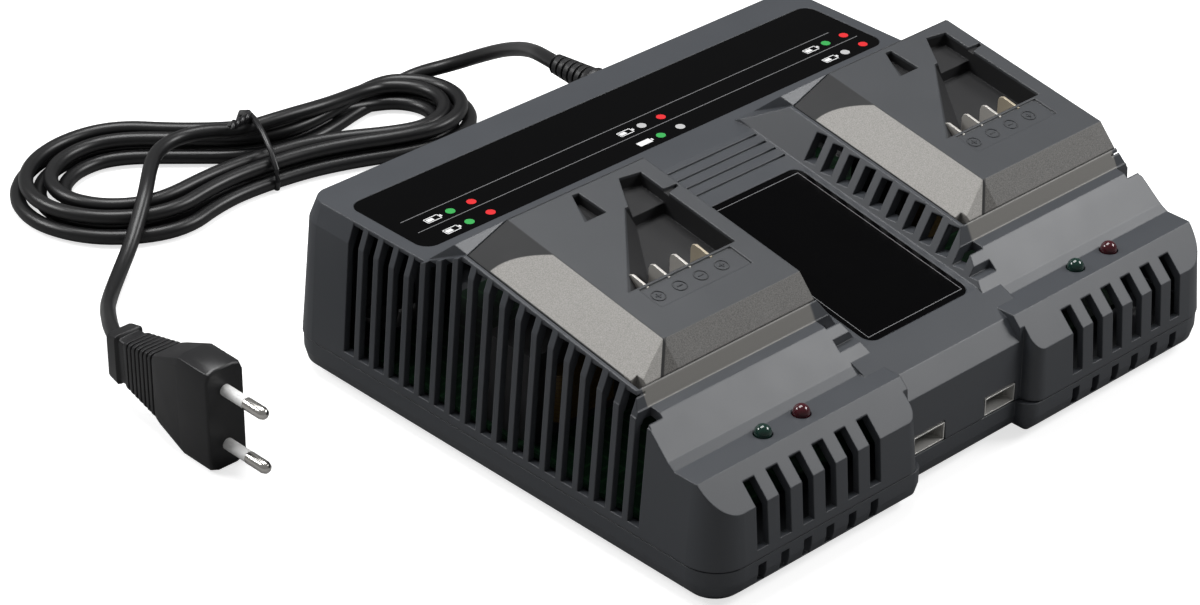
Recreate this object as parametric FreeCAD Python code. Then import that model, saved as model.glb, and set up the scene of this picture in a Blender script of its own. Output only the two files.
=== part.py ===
import FreeCAD
import Part
import math
import os

from FreeCAD import Vector

# Twin-bay battery charger: X runs along the front, Y to the back, Z up.
# The origin is on the table, under the middle of the housing.

DOC = FreeCAD.newDocument("twin_charger")
SHEET = DOC.addObject("Spreadsheet::Sheet", "sizes")

SIZES = {
    # housing, outside
    "half_width": 109.2,
    "half_depth": 92.6,
    "corner_radius": 12.0,
    "bay_corner_radius": 5.0,
    "foot_lift": 0.6,
    "bottom_round": 7.0,
    "parting_height": 13.0,
    "parting_gap": 0.5,
    "wall": 2.2,
    "draft_angle": 4.8,
    "deck_wall_height": 52.2,
    "deck_height": 58.8,
    "deck_front": 34.0,
    "rim_inset": 5.8,
    # battery bays
    "tilt_slope": 0.173,
    "bay_inner": 31.3,
    "bay_foot": 24.5,
    "rim_height": 64.6,
    "wall_top_drop": 6.0,
    "platform_height": 70.4,
    "platform_front": 47.7,
    "platform_foot": 53.9,
    "platform_bevel": 15.2,
    "platform_gap": 0.35,
    "platform_seat": 3.0,
    "rim_width": 1.6,
    "hump_front": 17.0,
    "strip_foot": 56.9,
    "strip_drop": 4.4,
    "slope_top": 62.3,
    "slope_foot": 71.9,
    "ledge_height": 39.3,
    "ledge_front": 82.1,
    "front_chamfer_slope": 1.04,
    "front_chamfer_foot": 31.0,
    # middle of the housing
    "usb_face": 87.0,
    "usb_chamfer_foot": 30.1,
    "usb_chamfer_back": 79.7,
    "usb_chamfer_top": 37.7,
    "valley_front": 67.6,
    "valley_height": 54.3,
    # vents
    "side_slot_pitch": 6.83,
    "side_slot_width": 4.6,
    "side_slot_count": 19,
    "side_slot_first": 61.0,
    "slot_foot": 15.9,
    "front_slot_pitch": 9.16,
    "front_slot_width": 4.5,
    "front_slot_count": 6,
    "front_slot_top": 35.5,
    "back_slot_pitch": 5.8,
    "back_slot_width": 3.6,
    "inner_slot_count": 11,
    "inner_slot_pitch": 6.83,
    "inner_slot_width": 4.0,
    # panels
    "rear_label_half": 98.8,
    "rear_label_front": 38.6,
    "rear_label_back": 74.2,
    "label_depth": 0.8,
    "label_gap": 0.15,
    "centre_label_half": 22.0,
    "centre_label_back": 4.5,
    # battery contacts
    "pocket_right": 6.1,
    "pocket_front": 27.3,
    "pocket_width": 43.5,
    "pocket_step": 2.0,
    "pocket_back": 13.5,
    "pocket_depth": 8.0,
    "blade_pitch": 8.45,
    "blade_first": 42.3,
    "blade_length": 7.0,
    "blade_thick": 0.8,
    # ports, lamps
    "usb_pitch": 31.1,
    "usb_width": 13.2,
    "usb_height": 5.8,
    "usb_level": 16.0,
    "usb_length": 14.0,
    "lamp_offset": 7.75,
    "lamp_radius": 2.6,
    "lamp_line": 76.4,
    # inside
    "board_thick": 1.6,
    "board_level": 8.0,
    "board_half_width": 98.0,
    "board_half_depth": 76.0,
    "fan_size": 40.0,
    "fan_depth": 10.0,
    "fan_bore": 19.0,
    "fan_hub": 12.0,
    "fan_shaft": 1.5,
    "shaft_clearance": 0.05,
    "fan_place_x": 80.0,
    "fan_place_y": 71.0,
    # cord and plug
    "cord_width": 5.4,
    "cord_exit_x": 22.0,
    "cord_exit_z": 49.5,
    "relief_length": 20.0,
    "relief_radius": 5.2,
    "plug_x": -159.0,
    "plug_rear": 110.0,
    "plug_length": 51.0,
    "plug_height": 35.0,
    "plug_thick": 14.0,
    "pin_spacing": 18.6,
    "pin_radius": 2.0,
    "pin_length": 19.0,
    "foot_radius": 6.0,
    "screw_radius": 3.2,
}


def fill_sheet():
    """Write every size into the sheet, each under its own name."""
    for row, (name, value) in enumerate(SIZES.items(), start=1):
        SHEET.set("A%d" % row, name)
        SHEET.set("B%d" % row, str(value))
        SHEET.setAlias("B%d" % row, name)
    DOC.recompute()


def size(name):
    """Read one size back from the sheet."""
    return float(SHEET.get(name))


fill_sheet()

HALF_W = size("half_width")
HALF_D = size("half_depth")
CORNER = size("corner_radius")
PART_Z = size("parting_height")
WALL = size("wall")
DRAFT = math.tan(math.radians(size("draft_angle")))
SLOPE = size("tilt_slope")
DECK_Z = size("deck_height")
DECK_Y = size("deck_front")
RIM_X = HALF_W - size("rim_inset")
INNER_X = size("bay_inner")
FOOT_X = size("bay_foot")
BAY_X = (RIM_X + INNER_X) / 2.0
REACH = 6.0
BAYS = {"left": -BAY_X, "right": BAY_X}


def wire(points):
    """Close a polygon through the points."""
    return Part.makePolygon([Vector(*p) for p in points] + [Vector(*points[0])])


def prism_x(profile, low, high):
    """Pull a (y, z) outline along X from low to high."""
    face = Part.Face(wire([(low, y, z) for y, z in profile]))
    return face.extrude(Vector(high - low, 0, 0))


def loft_y(section, low, high):
    """Join the (x, z) outlines that section gives at two places along Y."""
    ends = [wire([(x, y, z) for x, z in section(y)]) for y in (low, high)]
    return Part.makeLoft(ends, True, True)


def box(low, high):
    """Make a block between two corners."""
    span = [b - a for a, b in zip(low, high)]
    return Part.makeBox(span[0], span[1], span[2], Vector(*low))


def fuse_all(shapes):
    """Join several shapes into one."""
    first = shapes[0]
    return first.multiFuse(shapes[1:]) if len(shapes) > 1 else first


def keep(name, shape):
    """Store a finished shape as a named object of the document."""
    node = DOC.addObject("Part::Feature", name)
    node.Label = name
    node.Shape = shape
    return node


def rim_z(y):
    """Height of the bay's rim at a place along the tilted bay."""
    return size("rim_height") + SLOPE * y


def platform_z(y):
    """Height of the flat top of the battery platform."""
    return size("platform_height") + SLOPE * y


def valley_z(y):
    """Height of the floor between the two bays."""
    return size("valley_height") + SLOPE * y


def outline(inset, z, notch):
    """Outline of the housing in plan: rounded corners, the front set back between the bays."""
    x, y = HALF_W - inset, HALF_D - inset
    r = max(CORNER - inset, 1.0)
    q = max(size("bay_corner_radius") - inset, 1.0)
    n, f = notch + inset, size("usb_face") - inset
    k = math.sqrt(0.5)

    def arc(cx, cy, radius, dx, dy, turn):
        start, end = ((dx, 0), (0, dy)) if turn else ((0, dy), (dx, 0))
        return Part.Arc(Vector(cx + radius * start[0], cy + radius * start[1], z),
                        Vector(cx + radius * dx * k, cy + radius * dy * k, z),
                        Vector(cx + radius * end[0], cy + radius * end[1], z)).toShape()

    edges = [
        arc(x - r, y - r, r, 1, 1, True),
        arc(-x + r, y - r, r, -1, 1, False),
        arc(-x + r, -y + r, r, -1, -1, True),
        arc(-n - q, -y + q, q, 1, -1, False),
        arc(n + q, -y + q, q, -1, -1, True),
        arc(x - r, -y + r, r, 1, -1, False),
    ]
    ends = [(e.Vertexes[0].Point, e.Vertexes[-1].Point) for e in edges]
    path = []
    corners = [None, None, None, [Vector(-n, -f, z), Vector(n, -f, z)], None, None]
    for i, edge in enumerate(edges):
        path.append(edge)
        here = ends[i][1]
        stops = (corners[i] or []) + [ends[(i + 1) % len(edges)][0]]
        for stop in stops:
            path.append(Part.LineSegment(here, stop).toShape())
            here = stop
    return Part.Wire(path)


def tapered(inset, low, high, extra=0.0):
    """Drafted block inside the outline, from one height to another."""
    ends = [outline(inset, low, FOOT_X), outline(inset + (high - low) * DRAFT + extra, high, FOOT_X)]
    return Part.makeLoft(ends, True, True)


def bay_profile(drop):
    """Side view of one bay: chamfered foot, lamp ledge, S slope, lip and tilted rim."""
    m = size("front_chamfer_slope")
    top = size("ledge_front")
    ledge = size("ledge_height")
    back = size("hump_front")
    low_y = -HALF_D - REACH
    points = [
        (low_y, PART_Z),
        (low_y, ledge - (top + low_y * -1.0 - 2 * top) * m),
        (-top, ledge),
        (-size("slope_foot") - 1.6, ledge),
        (-size("slope_foot") + 1.2, ledge + 1.7),
        (-size("slope_top") - 0.8, rim_z(-size("strip_foot")) - size("strip_drop") - 2.6),
        (-size("slope_top") + 1.6, rim_z(-size("strip_foot")) - size("strip_drop") - 0.5),
        (-size("strip_foot"), rim_z(-size("strip_foot")) - size("strip_drop")),
        (-size("platform_foot") - 0.4, rim_z(-size("platform_foot"))),
        (back, rim_z(back)),
        (DECK_Y, DECK_Z),
        (DECK_Y + 4.0, DECK_Z),
        (DECK_Y + 4.0, PART_Z),
    ]
    return [(y + drop * 0.5 if y < DECK_Y else y, z - drop if z > PART_Z else z) for y, z in points]


def bay_side(inset, drop):
    """Cutter that leans a bay's inner wall outwards from the valley to the rim."""
    def section(y):
        return [(FOOT_X + inset, valley_z(y) - drop), (INNER_X + inset, rim_z(y) - drop),
                (INNER_X + inset + 8.0, rim_z(y) + 40.0), (0.0, rim_z(y) + 40.0), (0.0, valley_z(y) - drop)]
    return loft_y(section, -HALF_D - 10.0, DECK_Y + 6.0)


def rim_chamfer(inset, drop):
    """Cutter for the steep chamfer along a bay's outer rim."""
    def section(y):
        lean = 3.4 * (1.0 if y < size("hump_front") + 1.0 else 0.6)
        wall = RIM_X + 2.5 - inset
        low = rim_z(y) - size("wall_top_drop") - drop
        return [(wall, low), (wall - 2.5 - lean * 0.0, low + size("wall_top_drop")),
                (wall - 8.0, low + 30.0), (HALF_W + 20.0, low + 30.0), (HALF_W + 20.0, low)]
    return loft_y(section, -HALF_D - 10.0, size("hump_front"))


def mirrored(shape):
    """Copy of a shape on the other side of the middle plane."""
    return shape.mirror(Vector(0, 0, 0), Vector(1, 0, 0))


def housing_form(inset):
    """Closed outer form of the upper housing, or the hollow inside it for an inset."""
    drop = inset * 1.25
    bay = prism_x(bay_profile(drop), FOOT_X + inset, HALF_W + 5.0)
    bay = bay.cut(bay_side(inset, drop)).cut(rim_chamfer(inset, drop))
    f, t = size("usb_face") - inset, size("usb_chamfer_back") - inset * 0.6
    join = (DECK_Z - size("valley_height")) / SLOPE
    valley = [(-f, PART_Z), (-f, size("usb_chamfer_foot") - drop * 0.5),
              (-t, size("usb_chamfer_top") - drop),
              (-size("valley_front"), valley_z(-size("valley_front")) - drop),
              (join, DECK_Z - drop), (DECK_Y + 4.0, DECK_Z - drop), (DECK_Y + 4.0, PART_Z)]
    middle = prism_x(valley, -FOOT_X - inset - 8.0, FOOT_X + inset + 8.0)
    deck = box((-HALF_W, DECK_Y, PART_Z), (HALF_W, HALF_D, DECK_Z - drop))
    low, high = size("deck_wall_height") - drop, DECK_Z - drop
    at_wall = inset + (low - PART_Z) * DRAFT
    cap = Part.makeLoft([outline(at_wall, low, FOOT_X), outline(size("rim_inset") + inset, high, FOOT_X)],
                        True, True)
    stem = Part.makeLoft([outline(inset, PART_Z, FOOT_X), outline(at_wall, low, FOOT_X)], True, True)
    deck = deck.common(stem.fuse(cap))
    block = tapered(inset, PART_Z, 80.0)
    front = fuse_all([bay, mirrored(bay), middle]).common(block)
    front = front.common(box((-HALF_W, -HALF_D, PART_Z), (HALF_W, DECK_Y + 0.5, 90.0)))
    return front.fuse(deck).removeSplitter()


def cap_form(centre):
    """Raised block of one bay: flat tilted top, wide left bevel, steep front, back slope."""
    gap = size("platform_gap")
    left = centre - (RIM_X - INNER_X) / 2.0 + size("rim_width")
    right = centre + (RIM_X - INNER_X) / 2.0 - gap
    front, foot = size("platform_front"), size("platform_foot")
    back = size("hump_front")
    seat = size("platform_seat")
    profile = [(-foot, rim_z(-foot) - seat), (-foot, rim_z(-foot)), (-front, platform_z(-front)),
               (back, platform_z(back)), (DECK_Y, DECK_Z), (DECK_Y, DECK_Z - seat),
               (back, rim_z(back) - seat)]
    block = prism_x(profile, left, right)

    def section(y):
        low, high = rim_z(y), platform_z(y)
        rise = (high - low) / size("platform_bevel")
        return [(left - 5.0, low - 5.0 * rise), (left + size("platform_bevel"), high),
                (left + size("platform_bevel"), high + 30.0), (left - 5.0, high + 30.0)]
    return block.cut(loft_y(section, -foot - 5.0, DECK_Y + 5.0))


def pocket_form(centre):
    """Terminal pocket: straight right wall, diagonal ramp on the left, narrow channel behind."""
    right = centre + (RIM_X - INNER_X) / 2.0 - size("pocket_right")
    left = right - size("pocket_width")
    front, step, back = -size("pocket_front"), size("pocket_step"), size("pocket_back")
    depth = size("pocket_depth")

    def plan(points, shift):
        return wire([(x, y, platform_z(y) - shift) for x, y in points])

    knee = right - 16.5
    top = [(left, front), (right, front), (right, step), (knee, step)]
    low = [(left + 11.0, front), (right, front), (right, step), (knee + 5.0, step)]
    deep = Part.makeLoft([plan([(left - 1.0, front), (right, front), (right, step), (knee - 0.5, step)], -1.0),
                          plan(low, depth)], True, True)
    channel_top = [(knee + 0.4, step - 1.0), (right, step - 1.0), (right, back - 1.2), (right - 8.1, back)]
    channel_low = [(knee + 3.0, step - 1.0), (right, step - 1.0), (right, back - 1.2), (right - 6.5, back)]
    shallow = Part.makeLoft([plan(channel_top, -1.0), plan(channel_low, depth * 0.55)], True, True)
    notch = Part.makeLoft([plan([(right - 1.0, step - 2.0), (right + 4.9, step - 0.9), (right + 4.9, step + 0.3),
                                 (right - 1.0, step + 0.6)], -1.0),
                           plan([(right - 1.0, step - 2.0), (right + 4.9, step - 0.9), (right + 4.9, step + 0.3),
                                 (right - 1.0, step + 0.6)], 1.2)], True, True)
    catch_x, catch_y = right - 22.2, 3.5
    catch = Part.makeLoft([plan([(catch_x, catch_y), (catch_x - 10.4, catch_y), (catch_x - 3.1, catch_y + 11.6),
                                 (catch_x - 0.6, catch_y + 11.3)], -1.0),
                           plan([(catch_x, catch_y), (catch_x - 2.6, catch_y), (catch_x - 2.6, catch_y + 11.5),
                                 (catch_x - 0.6, catch_y + 11.3)], 3.6)], True, True)
    return [deep, shallow, notch, catch]


def platform(side):
    """Battery platform of one bay, with its terminal pocket and polarity recess."""
    centre = BAYS[side]
    back = size("hump_front") - size("platform_gap")
    shape = cap_form(centre)
    shape = shape.common(box((-HALF_W, -HALF_D, 0.0), (HALF_W, back, 100.0)))
    right = centre + (RIM_X - INNER_X) / 2.0 - size("pocket_right")
    well = box((right - size("pocket_width") - 2.0, -size("pocket_front") - 3.0, 40.0),
               (right + 1.8, size("pocket_back") - 1.0, 90.0))

    def under(y):
        low = rim_z(y) - size("platform_seat") - 3.4
        return [(-HALF_W, low), (HALF_W, low), (HALF_W, low + 4.0), (-HALF_W, low + 4.0)]
    shape = shape.fuse(well.common(loft_y(under, -60.0, 30.0))).removeSplitter()
    shape = shape.cut(fuse_all(pocket_form(centre)))

    def recess(shift):
        pts = [(right - 39.6, -37.2), (right - 3.0, -37.2), (right - 3.0, -28.0), (right - 39.6, -28.0)]
        return wire([(x, y, platform_z(y) - shift) for x, y in pts])
    shape = shape.cut(Part.makeLoft([recess(-1.0), recess(0.6)], True, True))
    # small key at the front left corner of the skirt
    left = centre - (RIM_X - INNER_X) / 2.0 + size("rim_width")
    foot = size("platform_foot")
    key = box((left - 1.0, -foot - 1.0, 40.0), (left + 2.6, -foot + 3.4, 90.0))
    shape = shape.cut(key)
    shape = shape.cut(Part.makeCompound(blade_forms(centre, 0.06)))
    return keep("battery_platform_" + side, shape)


def blade_places(centre):
    """Places of the four contact blades across one bay."""
    right = centre + (RIM_X - INNER_X) / 2.0
    return [right - size("blade_first") + i * size("blade_pitch") for i in range(4)]


def blade_forms(centre, grow):
    """Four upright blades with a rounded rear corner, or the slits they stand in."""
    front = -size("pocket_front")
    length = size("blade_length") + grow
    half = size("blade_thick") / 2.0 + grow
    solids = []
    for x in blade_places(centre):
        top = platform_z(front + length) - 0.3
        low = rim_z(front) - size("platform_seat") - 10.0
        profile = [(front - 1.0 - grow, low), (front - 1.0 - grow, platform_z(front - 1.0) - 0.3),
                   (front + length - 1.8, top), (front + length - 0.5, top - 0.5), (front + length, top - 1.8),
                   (front + length, low)]
        solids.append(prism_x(profile, x - half, x + half))
    return solids


def blades(side):
    """Contact blades of one bay."""
    return keep("contact_blades_" + side, Part.makeCompound(blade_forms(BAYS[side], 0.0)))


def terminal_block(side):
    """Moulded block under the pocket that the blades stand in."""
    centre = BAYS[side]
    places = blade_places(centre)
    front = -size("pocket_front")
    top = rim_z(front - 4.0) - size("platform_seat") - 3.6
    shape = box((places[0] - 6.0, front - 4.0, top - 11.0), (places[-1] + 6.0, front + 14.0, top))
    shape = shape.cut(Part.makeCompound(blade_forms(centre, 0.0)))
    return keep("terminal_block_" + side, shape)


def side_slots():
    """Tall vents through the side walls, open at the top into the chamfered rim."""
    cuts = []
    width, pitch = size("side_slot_width"), size("side_slot_pitch")
    foot = size("slot_foot")
    for i in range(int(size("side_slot_count"))):
        low = size("side_slot_first") - i * pitch
        high = low + width
        mid = (low + high) / 2.0
        peak = size("hump_front")
        if mid < peak:
            top = rim_z(mid) - 1.4
        else:
            share = min((mid - peak) / (DECK_Y - peak), 1.0)
            top = rim_z(peak) + (DECK_Z - rim_z(peak)) * share - 1.4
        cuts.append(box((RIM_X - WALL - 0.8, low, foot), (HALF_W + 2.0, high, top)))
        cuts.append(box((RIM_X + 0.1, low, foot), (HALF_W + 2.0, high, top + 6.0)))
    return cuts + [mirrored(c) for c in cuts]


def front_slots():
    """Vents through the front of each bay, running up into the chamfer."""
    cuts = []
    count = int(size("front_slot_count"))
    width, pitch = size("front_slot_width"), size("front_slot_pitch")
    for centre in BAYS.values():
        first = centre - (pitch * (count - 1) + width) / 2.0
        for i in range(count):
            low = first + i * pitch
            cuts.append(box((low, -HALF_D - 2.0, size("slot_foot")),
                            (low + width, -HALF_D + WALL + 6.5, size("front_slot_top"))))
    return cuts


def back_slots():
    """Vents through the back wall, left and right of the cord."""
    cuts = []
    width, pitch = size("back_slot_width"), size("back_slot_pitch")
    clear = size("relief_radius") + 3.0
    count = int((2.0 * HALF_W - 4.0 * CORNER) / pitch)
    start = -pitch * (count - 1) / 2.0
    for i in range(count):
        x = start + i * pitch
        if abs(x - size("cord_exit_x")) < clear + width / 2.0:
            continue
        rim_y = HALF_D - size("rim_inset")
        cuts.append(box((x - width / 2.0, rim_y - WALL - 0.6, size("slot_foot")),
                        (x + width / 2.0, HALF_D + 2.0, DECK_Z - 2.0)))
        cuts.append(box((x - width / 2.0, rim_y + 0.1, size("slot_foot")),
                        (x + width / 2.0, HALF_D + 2.0, DECK_Z + 4.0)))
    return cuts


def inner_slots():
    """Vents through the leaning walls that face the valley."""
    cuts = []
    width, pitch = size("inner_slot_width"), size("inner_slot_pitch")
    for i in range(int(size("inner_slot_count"))):
        low = 4.4 - i * pitch
        mid = low + width / 2.0
        cuts.append(box((FOOT_X - 2.0, low - width, valley_z(mid - width) + 1.4),
                        (INNER_X + WALL + 0.4, low, rim_z(mid - width) - 1.0)))
    return cuts + [mirrored(c) for c in cuts]


def usb_places():
    """Places of the two charging ports along X."""
    return {"left": -size("usb_pitch") / 2.0, "right": size("usb_pitch") / 2.0}


def lamp_places(centre):
    """Places of the green and the red lamp of one bay along X."""
    return {"green": centre - size("lamp_offset"), "red": centre + size("lamp_offset")}


def seat_tray(centre):
    """Recess and opening in a bay's top that the battery platform drops into."""
    gap = size("platform_gap")
    left = centre - (RIM_X - INNER_X) / 2.0 + size("rim_width") - gap
    right = centre + (RIM_X - INNER_X) / 2.0 + 0.4
    foot = -size("platform_foot") - gap
    back = size("hump_front")
    seat = size("platform_seat")
    recess = prism_x([(foot, rim_z(foot) - seat), (back, rim_z(back) - seat), (back, rim_z(back) + 30.0),
                      (foot, rim_z(foot) + 30.0)], left, right)
    hole = box((left + 6.0, foot + 6.0, 30.0), (right - 3.6, back - 4.0, 90.0))
    return [recess, hole]


def upper_shell():
    """Moulded upper housing: hollow, drafted, with tilted bays, vents and openings."""
    outer = housing_form(0.0)
    humps = []
    for centre in BAYS.values():
        hump = cap_form(centre)
        humps.append(hump.common(box((-HALF_W, size("hump_front"), 0.0), (HALF_W, HALF_D, 100.0))))
    outer = fuse_all([outer] + humps)
    hollow = housing_form(WALL)
    above = size("board_level") + size("board_thick") + 0.1
    bosses = [Part.makeCylinder(3.4, 60.0, Vector(x, y, above)).common(housing_form(0.6))
              for x, y in screw_places()]
    shell = outer.cut(hollow).multiFuse(bosses)
    cuts = side_slots() + front_slots() + back_slots() + inner_slots()
    cuts += [Part.makeCylinder(1.6, 8.0, Vector(x, y, above - 1.0)) for x, y in screw_places()]
    for centre in BAYS.values():
        cuts += seat_tray(centre)
        for x in lamp_places(centre).values():
            cuts.append(Part.makeCylinder(size("lamp_radius") + 0.3, 30.0,
                                          Vector(x, -size("lamp_line"), size("ledge_height") - 6.0)))
    for x in usb_places().values():
        half = size("usb_width") / 2.0 + 0.4
        cuts.append(box((x - half, -HALF_D, PART_Z - 1.0),
                        (x + half, -size("usb_face") + WALL + 3.0, size("usb_level") + size("usb_height") / 2.0 + 0.4)))
    cuts.append(Part.makeCylinder(size("relief_radius") - 1.2, 14.0,
                                  Vector(size("cord_exit_x"), HALF_D - 12.0, size("cord_exit_z")), Vector(0, 1, 0)))
    shell = shell.cut(Part.makeCompound(cuts))
    label = rear_label_form(size("label_gap"), 20.0)
    plate = centre_label_form(size("label_gap"), 20.0)
    grooves = [prism_x([(y, valley_z(y) - 0.6), (y + 0.8, valley_z(y) - 0.6), (y + 0.8, DECK_Z + 2.0),
                        (y, DECK_Z + 2.0)], -FOOT_X + 1.0, FOOT_X - 1.0)
               for y in [10.5 + 4.15 * i for i in range(4)]]
    shell = shell.cut(Part.makeCompound([label, plate] + grooves))
    return keep("upper_shell", shell)


def rounded_plate(half, front, back, radius):
    """Plan of a plate with rounded corners, as a list of edges at height 0."""
    k = math.sqrt(0.5)
    corners = [(half - radius, back - radius, 1, 1), (-half + radius, back - radius, -1, 1),
               (-half + radius, front + radius, -1, -1), (half - radius, front + radius, 1, -1)]
    edges = []
    for i, (cx, cy, dx, dy) in enumerate(corners):
        a, b = ((cx + radius * dx, cy), (cx, cy + radius * dy))
        if i % 2:
            a, b = b, a
        mid = (cx + radius * dx * k, cy + radius * dy * k)
        edges.append(Part.Arc(Vector(a[0], a[1], 0), Vector(mid[0], mid[1], 0), Vector(b[0], b[1], 0)).toShape())
    path = []
    for i, edge in enumerate(edges):
        path.append(edge)
        path.append(Part.LineSegment(edge.Vertexes[-1].Point, edges[(i + 1) % 4].Vertexes[0].Point).toShape())
    return Part.Face(Part.Wire(path))


def rear_label_form(grow, height):
    """Rear panel, or its recess when grown."""
    face = rounded_plate(size("rear_label_half") + grow, size("rear_label_front") - grow,
                         size("rear_label_back") + grow, 5.0)
    face.translate(Vector(0, 0, DECK_Z - size("label_depth")))
    return face.extrude(Vector(0, 0, height))


def centre_label_form(grow, height):
    """Plate on the valley floor, or its recess when grown."""
    front = -size("valley_front")
    face = rounded_plate(size("centre_label_half") + grow, front - grow, size("centre_label_back") + grow, 4.0)
    plate = face.extrude(Vector(0, 0, 60.0))
    plate.translate(Vector(0, 0, 20.0))

    def section(y):
        low = valley_z(y) - size("label_depth")
        return [(-60.0, low), (60.0, low), (60.0, low + height), (-60.0, low + height)]
    return plate.common(loft_y(section, front - 5.0, size("centre_label_back") + 5.0))


def panels():
    """Glossy panels on the deck and in the valley."""
    keep("rear_label_panel", rear_label_form(0.0, size("label_depth") - 0.1))
    keep("centre_label_plate", centre_label_form(0.0, size("label_depth") - 0.1))


def bottom_shell():
    """Tray that closes the housing from below, with screw posts and port cradles."""
    gap = size("parting_gap")
    lift = size("foot_lift")
    high = PART_Z - gap
    r = size("bottom_round")
    steps = [(0.0, high), (0.0, lift + r)]
    for angle in (30.0, 60.0, 90.0):
        a = math.radians(angle)
        steps.append((r * (1.0 - math.cos(a)), lift + r * (1.0 - math.sin(a))))

    def stack(inset, rise):
        parts = []
        for (i0, z0), (i1, z1) in zip(steps, steps[1:]):
            ends = [outline(0.3 + i0 + inset, z0 + rise, FOOT_X - 2.0), outline(0.3 + i1 + inset, z1 + rise, FOOT_X - 2.0)]
            parts.append(Part.makeLoft(ends, True, True))
        return fuse_all(parts).removeSplitter()

    outer = stack(0.0, 0.0)
    inner = stack(WALL, WALL)
    roof = Part.Face(outline(0.3 + WALL, high + WALL - 0.01, FOOT_X - 2.0)).extrude(Vector(0, 0, 5.0))
    shell = outer.cut(inner).cut(roof)
    posts = []
    for x, y in screw_places():
        posts.append(Part.makeCylinder(4.5, size("board_level") - lift - WALL * 0.5,
                                       Vector(x, y, lift + WALL * 0.5)))
    shell = shell.multiFuse(posts)
    cuts = []
    for x, y in screw_places():
        cuts.append(Part.makeCylinder(1.6, 40.0, Vector(x, y, -5.0)))
        cuts.append(Part.makeCylinder(size("screw_radius") + 0.3, 3.0 + 5.0, Vector(x, y, -5.0)))
    for x, y in feet_places():
        cuts.append(Part.makeCylinder(size("foot_radius") + 0.1, 0.8 + 5.0, Vector(x, y, lift - 5.0)))
    count = int(size("front_slot_count"))
    for centre in BAYS.values():
        first = centre - (size("front_slot_pitch") * (count - 1)) / 2.0
        for i in range(count):
            x = first + i * size("front_slot_pitch")
            cuts.append(box((x - 1.6, -HALF_D - 2.0, 4.4), (x + 1.6, -HALF_D + WALL + 4.0, 10.6)))
    for x in usb_places().values():
        half = size("usb_width") / 2.0 + 0.4
        cuts.append(box((x - half, -HALF_D, size("usb_level") - size("usb_height") / 2.0 - 0.4),
                        (x + half, -size("usb_face") + WALL + 3.0, PART_Z + 5.0)))
    return keep("bottom_shell", shell.cut(Part.makeCompound(cuts)))


def screw_places():
    """Places of the four housing screws."""
    return [(sx * 78.0, y) for sx in (-1, 1) for y in (-60.0, 63.0)]


def feet_places():
    """Places of the four rubber feet."""
    return [(sx * 92.0, sy * 72.0) for sx in (-1, 1) for sy in (-1, 1)]


def feet():
    """Rubber feet that stand a little proud of the bottom."""
    solids = []
    for x, y in feet_places():
        disc = Part.makeCylinder(size("foot_radius"), 0.8 + size("foot_lift"), Vector(x, y, 0.0))
        solids.append(disc)
    return keep("rubber_feet", Part.makeCompound(solids))


def screws():
    """Housing screws, heads sunk in the bottom."""
    solids = []
    for x, y in screw_places():
        head = Part.makeCylinder(size("screw_radius"), 1.8, Vector(x, y, 1.2))
        slot = box((x - 2.0, y - 0.4, 1.1), (x + 2.0, y + 0.4, 1.8))
        cross = box((x - 0.4, y - 2.0, 1.1), (x + 0.4, y + 2.0, 1.8))
        shank = Part.makeCylinder(1.5, 10.0, Vector(x, y, 2.9))
        solids.append(head.fuse(shank).cut(slot).cut(cross))
    return keep("housing_screws", Part.makeCompound(solids))


def lamps():
    """Domed indicator lamps on the ledge of each bay."""
    nodes = []
    r = size("lamp_radius")
    for side, centre in BAYS.items():
        for colour, x in lamp_places(centre).items():
            place = Vector(x, -size("lamp_line"), size("ledge_height") - 4.0)
            body = Part.makeCylinder(r, 4.4, place)
            dome = Part.makeSphere(r, place + Vector(0, 0, 4.4))
            flange = Part.makeCylinder(r + 0.8, 1.0, place - Vector(0, 0, 0.2))
            nodes.append(keep("lamp_%s_%s" % (colour, side), fuse_all([body, dome, flange]).removeSplitter()))
    return nodes


def lamp_boards():
    """Small boards under the ledges that carry the lamps."""
    top = size("ledge_height") - 4.2
    line = -size("lamp_line")
    for side, centre in BAYS.items():
        keep("lamp_board_" + side, box((centre - 13.0, line - 4.5, top - size("board_thick")),
                                       (centre + 13.0, line + 5.0, top)))


def usb_ports():
    """Metal port shells, each with a tongue inside."""
    for side, x in usb_places().items():
        w, t = size("usb_width") / 2.0, size("usb_height") / 2.0
        level = size("usb_level")
        front = -size("usb_face") + 0.3
        back = front + size("usb_length")
        shell = box((x - w, front, level - t), (x + w, back, level + t))
        shell = shell.cut(box((x - w + 0.35, front - 1.0, level - t + 0.35), (x + w - 0.35, back - 1.0, level + t - 0.35)))
        tongue = box((x - w + 1.6, front + 2.0, level + 0.4), (x + w - 1.6, back - 1.0, level + t - 0.9))
        keep("usb_port_" + side, shell)
        keep("usb_tongue_" + side, tongue)


def on_board(name, low, high, level=None):
    """Block standing on the main board, with softened vertical edges."""
    base = size("board_level") + size("board_thick") if level is None else level
    shape = box((low[0], low[1], base), (high[0], high[1], base + high[2]))
    upright = [e for e in shape.Edges if abs(e.tangentAt(e.FirstParameter).z) > 0.9]
    return keep(name, shape.makeFillet(1.0, upright))


def boards():
    """Main board and the small board behind the ports."""
    level = size("board_level")
    w, d = size("board_half_width"), size("board_half_depth")
    board = box((-w, -d + 8.0, level), (w, d, level + size("board_thick")))
    for x, y in screw_places():
        board = board.cut(Part.makeCylinder(2.0, 10.0, Vector(x, y, level - 2.0)))
    keep("main_board", board)
    front = -size("usb_face") + 3.0
    top = size("usb_level") - size("usb_height") / 2.0
    keep("usb_board", box((-24.0, front, top - size("board_thick")), (24.0, front + 16.0, top)))


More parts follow.
